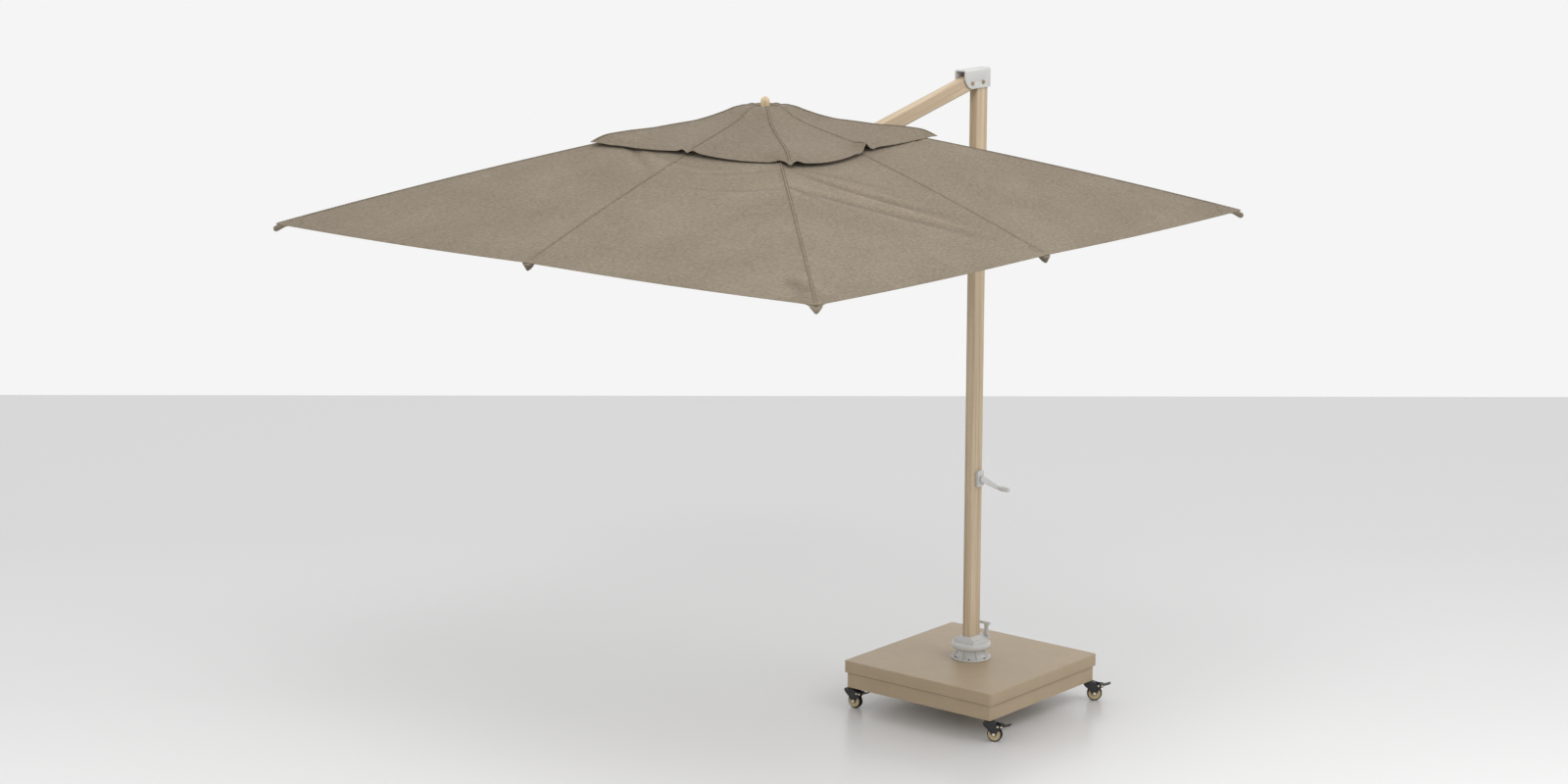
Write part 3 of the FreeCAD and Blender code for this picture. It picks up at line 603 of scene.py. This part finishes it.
def make_main_cloth(name):
    body = "rib_" + name
    if name == "rear":
        for side, label in ((1, "left"), (-1, "right")):
            grid = to_frame(half_gore(name, side, SLOT_EDGE))
            mesh = sheet_mesh("cloth", grid, True)
            piece = cloth_piece("cloth_rear_half_" + label, mesh, canopy_cloth, body)
            squash_with_rib(piece)
        xs = np.linspace(-SLOT_EDGE, SLOT_EDGE, 9)
        ys = np.linspace(SLOT_END, HALF_SIDE, 60)
        x, y = np.meshgrid(xs, ys)
        grid = to_frame(np.stack([x, y, cloth_z(x, y)], -1)[::-1])
        strip = cloth_piece("cloth_rear", sheet_mesh("cloth", grid, True), canopy_cloth, body)
        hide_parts("gore_rear")
        return
    left, right = half_gore(name, 1), half_gore(name, -1)
    grid = to_frame(np.concatenate([left[:, ::-1], right[:, 1:]], 1))
    piece = cloth_piece("cloth_" + name, sheet_mesh("cloth", grid, True), canopy_cloth, body)
    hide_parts("gore_" + name)
    squash_with_rib(piece)


CAP_ACROSS = np.concatenate([[0, 0.02, 0.05], np.linspace(0.1, 0.97, 20), [0.995, 1.0]])
CAP_ALONG = np.concatenate([np.linspace(CROWN_SHARE, 0.97, 44), [0.99, 1.0]])


def half_cap(name, side):
    rows = [[cap_point(name, side, share, across) for across in CAP_ACROSS] for share in CAP_ALONG]
    return np.array(rows)


def make_cap(name):
    body = "rib_" + name
    left, right = half_cap(name, 1), half_cap(name, -1)
    if name == "rear":
        for side, half, label in ((1, left, "left"), (-1, right, "right")):
            grid = to_frame(half)
            piece = cloth_piece("cap_rear_half_" + label, sheet_mesh("cap", grid), cap_cloth, body)
            squash_with_rib(piece)
        return
    grid = to_frame(np.concatenate([left[:, ::-1], right[:, 1:]], 1))
    piece = cloth_piece("cap_" + name, sheet_mesh("cap", grid), cap_cloth, body)
    squash_with_rib(piece)


# Radius and height round the section of the band that hangs from the crown, over the ribs' roots.
CROWN_SKIRT = ((0.0960, 3.1410), (0.1015, 3.1290), (0.1060, 3.1120),
               (0.1048, 3.1118), (0.1003, 3.1285), (0.0950, 3.1400))


def make_crown():
    """Middle of the vent cap, held on the hub by the finial."""
    shares = np.linspace(0, CROWN_SHARE, 9)
    columns = []
    for name in RIB_NAMES:
        for across in CAP_ACROSS[:-1]:
            columns.append((name, 1, across))
        for across in CAP_ACROSS[:0:-1]:
            columns.append((neighbour(name, 1), -1, across))
    top = to_frame([[cap_point(*column[:2], share, column[2]) for column in columns] for share in shares])
    n = len(columns)
    points = [tuple(p) for ring in top for p in ring]
    low = [(p[0], p[1], p[2] - CLOTH) for p in points]
    total = len(points)
    faces = []
    for i in range(len(shares) - 1):
        for j in range(n):
            a, b = i * n + j, i * n + (j + 1) % n
            faces.append((a, a + n, b + n, b))
            faces.append((a + total, b + total, b + n + total, a + n + total))
    last = (len(shares) - 1) * n
    for j in range(n):
        k = (j + 1) % n
        faces.append((j, k, k + total, j + total))
        faces.append((last + k, last + j, last + j + total, last + k + total))
    mesh = closed_mesh("crown", points + low, faces, radians(50))
    crown = cloth_piece("crown_cloth", mesh, cap_cloth, "mast")
    skirt = turned(CROWN_SKIRT, CENTRE, (0, 0, 1), 64)
    points, faces = loft_data(skirt + skirt[:1], cap=False)
    fall = cloth_piece("crown_skirt", closed_mesh("skirt", points, faces), cap_cloth, "mast")


SEAM_HALF, SEAM_RISE = 0.0060, 0.0020
STITCH_PITCH, STITCH_LENGTH, STITCH_ROW = 0.0120, 0.0074, 0.0040
STITCH_WIDTH, STITCH_HEIGHT = 0.0016, 0.0007


def seam_rings(path, side, half=SEAM_HALF, rise=SEAM_RISE):
    """Rounded strip over a path: the cross-section is a low dome that sinks a little into the cloth."""
    rings = []
    for x, y, z in path:
        ring = []
        for across, up in ((-1, -0.0006), (-0.92, 0.6 * rise), (-0.55, rise), (0, 1.1 * rise), (0.55, rise),
                           (0.92, 0.6 * rise), (1, -0.0006)):
            ring.append((x + side[0] * across * half, y + side[1] * across * half, z + up))
        rings.append(ring)
    return rings


def stitches(path, side, rows=(-STITCH_ROW, STITCH_ROW), rise=SEAM_RISE * 0.85, width=STITCH_WIDTH):
    """Short thread dashes along a path, in rows beside it."""
    path = np.asarray(path)
    steps = np.linalg.norm(np.diff(path, axis=0), axis=1)
    run = np.concatenate([[0], np.cumsum(steps)])
    tubes = []
    count = int((run[-1] - 0.01) / STITCH_PITCH)
    for k in range(count):
        at = 0.008 + k * STITCH_PITCH
        for row in rows:
            rings = []
            for t, fat in ((0, 0.25), (0.18, 1), (0.82, 1), (1, 0.25)):
                s = at + t * STITCH_LENGTH
                p = np.array([np.interp(s, run, path[:, i]) for i in range(3)])
                p[:2] += np.array(side) * row
                ring = []
                for a in range(6):
                    swing = 2 * pi * a / 6
                    reach = width * fat * cos(swing)
                    ring.append((p[0] + side[0] * reach, p[1] + side[1] * reach,
                                 p[2] + rise + STITCH_HEIGHT * fat * sin(swing)))
                rings.append(ring)
            tubes.append(rings)
    return tubes


def make_rib_seam(name):
    body = "rib_" + name
    start = SLOT_END + 0.012 if name == "rear" else VENT_R + 0.004
    radii = np.linspace(start, tip_radius(name) - 0.004, 90)
    along, side = outward(name), sideways(name)
    plan = along[None, :] * radii[:, None]
    path = on_cloth(plan)
    sewn("seam_" + name, seam_rings(path, side), canopy_cloth, body)
    sewn_thread("seam_stitches_" + name, stitches(path, side), body)


def make_cap_seam(name):
    body = "rib_" + name
    side = sideways(name)
    shares = np.linspace(CROWN_SHARE, 0.985, 50)
    path = to_frame([cap_point(name, 1, share, 0) for share in shares])
    if name == "rear":
        for sign, label in ((1, "left"), (-1, "right")):
            half_path = path + np.array((side[0], side[1], 0)) * sign * SEAM_HALF / 2
            rings = seam_rings(half_path, side, SEAM_HALF / 2)
            strip = sewn("cap_seam_rear_half_" + label, rings, cap_cloth, body)
            squash_with_rib(strip)
            row = stitches(path, side, (sign * STITCH_ROW,))
            dashes = sewn_thread("cap_stitches_rear_half_" + label, row, body)
            squash_with_rib(dashes)
    else:
        sewn("cap_seam_" + name, seam_rings(path, side), cap_cloth, body)
        sewn_thread("cap_stitches_" + name, stitches(path, side), body)
    inner = to_frame([cap_point(name, 1, share, 0) for share in np.linspace(0.02, CROWN_SHARE, 8)])
    sewn("crown_seam_" + name, seam_rings(inner, side), cap_cloth, "mast")
    sewn_thread("crown_stitches_" + name, stitches(inner, side), "mast")


def hem_rings(points, inner, thick=0.0010, bulge=0.0015):
    """Cross-sections of a folded hem between edge points and the points a hem's width inside them."""
    rings = []
    for e, i in zip(points, inner):
        out = e - i
        out = out / np.linalg.norm(out)
        up = np.array((0, 0, 1))
        low = np.array((0, 0, -CLOTH))
        rings.append([
            tuple(i + up * 0.0002), tuple(i + out * 0.001 + up * thick), tuple(e + up * thick),
            tuple(e + out * bulge + up * 0.3 * thick), tuple(e + out * bulge + low - up * 0.3 * thick),
            tuple(e + low - up * thick), tuple(i + out * 0.001 + low - up * thick),
            tuple(i + low - up * 0.0002),
        ])
    return rings


HEM = 0.024
CAP_HEM_START = 0.976                # share of the cap's way out at which its hem begins


def make_hem(name):
    """Folded hem along the canopy's outer edge, from panel middle to panel middle."""
    body = "rib_" + name
    tip = outward(name) * tip_radius(name)
    for side, label in ((1, "a"), (-1, "b")):
        seam = (tip + outward(neighbour(name, side)) * tip_radius(neighbour(name, side))) / 2
        ts = np.concatenate([[0, 0.02], np.linspace(0.05, 0.99, 30), [1.0]])
        plan = tip[None, :] + (seam - tip)[None, :] * ts[:, None]
        axis = 0 if abs(tip[0] - seam[0]) < 1e-6 else 1
        back = np.zeros(2)
        back[axis] = -np.sign(tip[axis]) * HEM
        inside = plan + back
        if is_corner(name):
            other = 1 - axis
            limit = HALF_SIDE - HEM
            inside[:, other] = np.clip(inside[:, other], -limit, limit)
        rings = hem_rings(on_cloth(plan), on_cloth(inside))
        piece = sewn("hem_%s_%s" % (name, label), rings, canopy_cloth, body)
        squash_with_rib(piece)


def make_cap_hem(name):
    body = "rib_" + name
    for side, label in ((1, "a"), (-1, "b")):
        edge = to_frame([cap_point(name, side, 1.0, across) for across in CAP_ACROSS])
        inner = to_frame([cap_point(name, side, CAP_HEM_START, across) for across in CAP_ACROSS])
        piece = sewn("cap_hem_%s_%s" % (name, label), hem_rings(edge, inner), cap_cloth, body)
        squash_with_rib(piece)


NOSE = 0.022                         # length of a pocket's rounded end
CORNER_POCKET, EDGE_POCKET = 0.118, 0.075
NUB_HALF = 0.034


def pocket_rings(name, start, end, half_width, depth, drop, taper):
    """Sock of cloth over a rib's end: rings from its open root to its closed, rounded tip.

    half_width, depth and drop give their values at a radius; taper is the bottom's width against the top's.
    """
    along, side = outward(name), sideways(name)
    rings = []
    for r in np.concatenate([np.linspace(start, end - NOSE, 12),
                             end - NOSE + NOSE * np.sin(np.linspace(0.12, pi / 2, 9))]):
        rounding = sqrt(max(0.0, 1 - max(0.0, (r - end + NOSE) / (NOSE * 1.012)) ** 2))
        w = half_width(r) * (0.30 + 0.70 * rounding)
        h = depth(r) * (0.25 + 0.75 * rounding)
        plan = along * min(r, tip_radius(name))
        top = float(cloth_z(plan[0], plan[1], False)) - drop(r) - (1 - rounding) * 0.35 * depth(r)
        ring = []
        for k in range(28):
            a = 2 * pi * k / 28
            across = abs(cos(a)) ** 0.7 * (1 if cos(a) > 0 else -1)
            up = abs(sin(a)) ** 0.7 * (1 if sin(a) > 0 else -1)
            spot = along * min(r, tip_radius(name)) + side * across * w
            edge_fall = float(cloth_z(spot[0], spot[1], False)) - float(cloth_z(plan[0], plan[1], False))
            narrow = 1 - (1 - taper) * max(0.0, -up)
            swell = 0.0018 * up if up > 0 else up * h * (1 - 0.45 * abs(across) ** 2)
            level = top + edge_fall * narrow + swell
            base = along * r + side * across * w * narrow
            ring.append((base[0] + CENTRE.x, base[1] + CENTRE.y, level))
        rings.append(ring)
    return rings


def make_pocket(name):
    body = "rib_" + name
    tip = tip_radius(name)
    if is_corner(name):
        root = tip - CORNER_POCKET
        rings = pocket_rings(
            name, root, tip + 0.012,
            lambda r: min(0.124, tip - r + 0.005) if r < tip - 0.024 else 0.029 - 0.3 * (r - tip + 0.024),
            lambda r: 0.006 + 0.022 * float(smoothstep(root + 0.03, tip - 0.02, r)),
            lambda r: 0.010 * float(smoothstep(tip - 0.04, tip + 0.01, r)), 0.60)
        sock = sewn("pocket_" + name, rings, pocket_cloth, body, radians(60))
        squash_with_rib(sock)
    else:
        root = tip - EDGE_POCKET
        rings = pocket_rings(
            name, root, tip + 0.006, lambda r: NUB_HALF,
            lambda r: 0.006 + 0.031 * float(smoothstep(root, tip - 0.02, r)),
            lambda r: 0.003 * float(smoothstep(tip - 0.03, tip, r)), 0.40)
        nub = sewn("pocket_" + name, rings, (pocket_cloth, nub_painted_shade_cloth), body, radians(60))
        # painted shade: faces tilted down or out take the darker cloth, faces that look up keep the pocket cloth
        for face in nub.data.polygons:
            face.material_index = 0 if face.normal.z > 0.35 else 1
        across = np.linspace(-NUB_HALF, NUB_HALF, 12)
        plan = outward(name)[None, :] * (root + 0.004) + sideways(name)[None, :] * across[:, None]
        sewn_thread("pocket_stitches_" + name, stitches(on_cloth(plan), outward(name), (0.0,)), body)


TAPE = 0.014                         # width of the tape that binds the boom's slot


def make_slot_binding():
    """Tape folded over both edges of the boom's slot, and across its end."""
    ys = np.linspace(VENT_R + 0.002, SLOT_END, 50)
    for sign, label in ((1, "left"), (-1, "right")):
        plan = np.stack([np.full_like(ys, -sign * SLOT_EDGE), ys], 1)
        inside = plan + np.array((-sign * TAPE, 0))
        sewn("slot_binding_" + label, hem_rings(on_cloth(plan), on_cloth(inside)), seam_cloth, "rib_rear")
    xs = np.linspace(-SLOT_EDGE - 0.012, SLOT_EDGE + 0.012, 12)
    plan = np.stack([xs, np.full_like(xs, SLOT_END)], 1)
    rings = hem_rings(on_cloth(plan), on_cloth(plan + np.array((0, TAPE))), thick=0.0014)
    sewn("slot_binding_end", rings, seam_cloth, "rib_rear")


for rib in RIB_NAMES:
    make_main_cloth(rib)
    make_cap(rib)
    make_rib_seam(rib)
    make_cap_seam(rib)
    make_hem(rib)
    make_cap_hem(rib)
    make_pocket(rib)
make_crown()
make_slot_binding()


# ---------------------------------------------------------------- base, mast foot and casters

def joint(name):
    return next(entry for entry in frame["joints"] if entry["name"] == name)


def superloop(half_a, half_b, power=2.6, count=32):
    """Closed rounded loop of (a, b) pairs."""
    loop = []
    for k in range(count):
        swing = 2 * pi * k / count
        a = abs(cos(swing)) ** (2 / power) * (1 if cos(swing) >= 0 else -1)
        b = abs(sin(swing)) ** (2 / power) * (1 if sin(swing) >= 0 else -1)
        loop.append((half_a * a, half_b * b))
    return loop


def smooth_outline(corners, rounding=3):
    """Closed outline with its corners cut and cut again until it runs smoothly."""
    points = [np.array(c, float) for c in corners]
    for _ in range(rounding):
        cut = []
        for i, here in enumerate(points):
            ahead = points[(i + 1) % len(points)]
            cut += [here * 0.75 + ahead * 0.25, here * 0.25 + ahead * 0.75]
        points = cut
    return points


def cushion_plate(outline, low, high, place, round_by=0.0012):
    """Rings of a flat plate with softened rims; place turns (u, z, v) into the frame."""
    middle = sum(outline) / len(outline)
    rings = []
    soft = 1 - 2 * round_by / 0.02
    steps = ((low, 0.9), (low, soft), (low + round_by, 1), (high - round_by, 1), (high, soft), (high, 0.9))
    for v, scale in steps:
        rings.append([tuple(place(*(middle + (p - middle) * scale), v)) for p in outline])
    return rings


# Caster shapes: u runs from the stem towards the axle, z up from the floor, v across, along the axle.
CHEEK = ((-0.027, 0.092), (-0.016, 0.0995), (0.014, 0.0995), (0.032, 0.093), (0.050, 0.087), (0.071, 0.087),
         (0.075, 0.079), (0.070, 0.071), (0.055, 0.068), (0.046, 0.056), (0.041, 0.038), (0.034, 0.027),
         (0.022, 0.027), (0.013, 0.038), (0.004, 0.054), (-0.012, 0.068), (-0.026, 0.080))
CHEEK_MIDDLE = (0.004, 0.074)        # what the cheek's raised rib is scaled about
RIB_SCALE = 0.80
CHEEK_INSIDE, CHEEK_OUTSIDE = 0.0175, 0.0208
RIB_INSIDE, RIB_OUTSIDE = 0.0200, 0.0217
RIVET_AT, RIVET_Z = (0.0475, 0.0655), 0.0785
HOOD_HALF, HOOD_MIDDLE = (0.031, 0.0095), (0.002, 0.0895)
HOOD_STEPS = ((-0.0190, 0.80), (-0.0185, 0.96), (-0.0160, 1.0),
              (0.0160, 1.0), (0.0185, 0.96), (0.0190, 0.80))
NUT_Z = 0.0982
# Turned shapes: radius and distance along the axis.
AXLE_HEAD = ((0.0075, 0.0205), (0.0075, 0.0225), (0.0062, 0.0240), (0.0035, 0.0248), (0.0008, 0.0250))
RIVET = ((0.0046, 0.0205), (0.0046, 0.0222), (0.0036, 0.0232), (0.0016, 0.0238), (0.0004, 0.0239))
WHEEL_DISC = ((0.0100, 0.0128), (0.0105, 0.0142), (0.0125, 0.0142), (0.0138, 0.0131), (0.0245, 0.0131),
              (0.0262, 0.0142), (0.0298, 0.0142), (0.0308, 0.0130), (0.0308, 0.0120), (0.0100, 0.0118))
NUT = ((0.0085, 0.0), (0.0092, 0.0008), (0.0092, 0.0040), (0.0078, 0.0052), (0.0064, 0.0054))
SCREW_HEAD = ((0.0066, 0.0), (0.0066, 0.0010), (0.0060, 0.0016), (0.0036, 0.0016), (0.0034, -0.001),
              (0.0008, -0.001))
SCREW_COUNT, SCREW_LIFT, BOLT_R = 6, 0.0030, 0.0049
black = FINISHES["caster_black"]
tan_metal = coated("caster_tan", colour(190, 172, 134), 0.5, 0.06, 500.0, 0.00008, specular=0.4)
pale_rivet = coated("caster_rivet", colour(226, 212, 192), 0.4, 0.04, 500.0, 0.00005)


def dress_caster(name):
    """Cheeks, rivets, axle heads, wheel discs, hood and nut of one caster."""
    fork, wheel = "fork_" + name, "wheel_" + name
    axle = Vector(joint("roll_" + name)["pos_m"])
    stem = Vector(joint("swivel_" + name)["pos_m"])
    across = Vector(joint("roll_" + name)["axis"]).normalized()
    along = Vector((axle.x - stem.x, axle.y - stem.y, 0)).normalized()

    def place(u, z, v):
        return Vector((stem.x, stem.y, 0)) + along * u + across * v + Vector((0, 0, z))

    outline = smooth_outline(CHEEK)
    centre_u, centre_z = CHEEK_MIDDLE
    raised = [(u * RIB_SCALE + centre_u, centre_z + (z - centre_z) * RIB_SCALE) for u, z in CHEEK]
    for sign, label in ((1, "a"), (-1, "b")):
        low, high = sorted((sign * CHEEK_INSIDE, sign * CHEEK_OUTSIDE))
        cheek = cushion_plate(outline, low, high, place)
        loft("%s_cheek_%s" % (fork, label), cheek, black, fork)
        low, high = sorted((sign * RIB_INSIDE, sign * RIB_OUTSIDE))
        rib_plate = cushion_plate(smooth_outline(raised), low, high, place)
        loft("%s_rib_%s" % (fork, label), rib_plate, black, fork)
        head = turned(AXLE_HEAD, axle, across * sign)
        loft("%s_axle_head_%s" % (fork, label), head, pale_rivet, fork)
        rivets = [turned(RIVET, place(u, RIVET_Z, 0), across * sign, 20) for u in RIVET_AT]
        many("%s_rivets_%s" % (fork, label), rivets, pale_rivet, fork)
        rings = turned(WHEEL_DISC, axle, across * sign)
        rings.append(rings[0])
        disc = closed_mesh("disc", *loft_data(rings, cap=False))
        add_object("%s_disc_%s" % (wheel, label), disc, tan_metal, wheel)
    hood = []
    middle_u, middle_z = HOOD_MIDDLE
    for v, scale in HOOD_STEPS:
        section = [(middle_u + a * scale, middle_z + b * scale) for a, b in superloop(*HOOD_HALF)]
        hood.append([tuple(place(u, z, v)) for u, z in section])
    loft(fork + "_hood", hood, black, fork)
    nut = turned(NUT, place(0, NUT_Z, 0), (0, 0, 1), 6)
    loft(fork + "_nut", nut, FINISHES["stem_steel"], "base")


def dress_base():
    """Dark strip under the lid's rim as painted shadow of the gap between lid and tray, and the socket screws that
    hold the foot down.
    """
    low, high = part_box("base_lid")
    half = high.x - 0.0012
    rings = []
    for z in (low.z - 0.0016, low.z + 0.0012):
        ring = superloop(half, half, 44, 96)
        rings.append([(x, y, z) for x, y in ring])
    loft("lid_gap_shadow_strip", rings, lid_gap_shadow_paint, "base")
    bolts_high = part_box("flange_bolts")[1]
    top = bolts_high.z + SCREW_LIFT
    circle_r = bolts_high.x - BOLT_R
    screws = []
    for k in range(SCREW_COUNT):
        swing = 2 * pi * k / SCREW_COUNT
        spot = (circle_r * cos(swing), circle_r * sin(swing), top)
        screws.append(turned(SCREW_HEAD, spot, (0, 0, 1), 24))
    many("flange_screws", screws, FINISHES["dark_steel"], "base")


# painted shadow: dark brown for the strip that stands in for the shade in the gap under the lid
lid_gap_shadow_paint = coated("lid_gap_painted_shadow", colour(92, 78, 58), 0.7, 0.05, 500.0, 0.00005, specular=0.2)
for corner_name in ("front_right", "rear_right", "rear_left", "front_left"):
    dress_caster(corner_name)
dress_base()


def soften(node_name, width, angle=radians(38)):
    """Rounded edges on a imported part."""
    node = nodes[node_name]
    weld = node.modifiers.new("weld", "WELD")
    weld.merge_threshold = 0.00002
    bevel = node.modifiers.new("bevel", "BEVEL")
    bevel.width = width
    bevel.segments = 2
    bevel.limit_method = "ANGLE"
    bevel.angle_limit = angle
    bevel.use_clamp_overlap = True
    node.data.polygons.foreach_set("use_smooth", [True] * len(node.data.polygons))
    node.data.set_sharp_from_angle(angle=angle)


EDGE_WIDTHS = {
    "mast_collar": 0.002, "hub_flange": 0.0015, "lock_lever": 0.0015, "crank_plate": 0.002,
    "crank_arm": 0.0015, "head_bracket": 0.0015, "base_lid": 0.002, "runner": 0.0012,
}
for node_name, width in EDGE_WIDTHS.items():
    soften(node_name, width)


# ---------------------------------------------------------------- stage, light and camera

CAMERA_AT = Vector((9.207, -12.647, 4.926))
CAMERA_YAW, CAMERA_PITCH, CAMERA_ROLL = radians(129.47), radians(12.07), radians(0.08)
LENS = 74.94
FLOOR_AHEAD = 22.9                  # floor's far edge from the camera, along the view
FLOOR_DEPTH, FLOOR_HALF = 17, 12.0
# Painted light on the floor: its grey runs from bright near the camera to darker far off, standing in for the
# light falling off.
TONES_FROM, TONES_TO = 14.4, 19.0    # where the floor's tones start and end, from the camera
FLOOR_PAINTED_LIGHT = ((0.0, 0.800), (0.3, 0.715), (0.6, 0.665), (1.0, 0.617))
WORLD_STRENGTH = 0.913


def look_at(direction, roll=0.0):
    return direction.to_track_quat("-Z", "Y") @ Quaternion((0, 0, 1), roll)


def make_camera():
    data = bpy.data.cameras.new("camera")
    data.lens = LENS
    data.sensor_width = 36
    data.clip_end = 200
    camera = bpy.data.objects.new("camera", data)
    bpy.context.scene.collection.objects.link(camera)
    direction = Vector((cos(CAMERA_YAW) * cos(CAMERA_PITCH), sin(CAMERA_YAW) * cos(CAMERA_PITCH),
                        -sin(CAMERA_PITCH)))
    camera.location = CAMERA_AT
    camera.rotation_mode = "QUATERNION"
    camera.rotation_quaternion = look_at(direction, CAMERA_ROLL)
    bpy.context.scene.camera = camera


def make_floor():
    ahead = Vector((cos(CAMERA_YAW), sin(CAMERA_YAW), 0))
    across = Vector((sin(CAMERA_YAW), -cos(CAMERA_YAW), 0))
    far = Vector((CAMERA_AT.x, CAMERA_AT.y, 0)) + ahead * FLOOR_AHEAD
    near = far - ahead * FLOOR_DEPTH
    reach = across * FLOOR_HALF
    corners = [near - reach, near + reach, far + reach, far - reach]
    mesh = bpy.data.meshes.new("floor")
    mesh.from_pydata([tuple(c) for c in corners], [], [(0, 1, 2, 3)])
    floor = bpy.data.objects.new("floor", mesh)
    bpy.context.scene.collection.objects.link(floor)
    material, tree, shader = new_material("floor_paint", roughness=0.25, specular=0.4)
    along = put(tree, "VectorMath", {0: object_vector(tree), 1: tuple(ahead)}, operation="DOT_PRODUCT")
    start = ahead.dot(CAMERA_AT)
    place = put(tree, "MapRange", {"Value": along.outputs["Value"], "From Min": start + TONES_FROM,
                                   "From Max": start + TONES_TO}).outputs[0]
    # painted light: the floor's grey by distance along the view, brighter near the camera
    tones = ramp(tree, place, [(share, (tone, tone, tone, 1.0)) for share, tone in FLOOR_PAINTED_LIGHT])
    tree.links.new(tones, shader.inputs["Base Color"])
    mesh.materials.append(material)


def area_light(name, at, target, size, power):
    data = bpy.data.lights.new(name, "AREA")
    data.shape = "SQUARE"
    data.size = size
    data.energy = power
    lamp = bpy.data.objects.new(name, data)
    bpy.context.scene.collection.objects.link(lamp)
    lamp.location = at
    lamp.rotation_mode = "QUATERNION"
    lamp.rotation_quaternion = look_at(Vector(target) - Vector(at))


def make_light():
    world = bpy.data.worlds.new("studio")
    world.use_nodes = True
    background = world.node_tree.nodes["Background"]
    background.inputs["Color"].default_value = (1, 1, 1, 1)
    background.inputs["Strength"].default_value = WORLD_STRENGTH
    bpy.context.scene.world = world
    area_light("key", (7.0, 0.8, 8.5), (0, -1.2, 1.5), 4.0, 150)
    area_light("overhead", (3.2, -6.0, 8.8), (-0.6, -0.8, 1.5), 3.2, 250)
    bpy.context.scene.view_settings.view_transform = "Standard"


make_camera()
make_floor()
make_light()
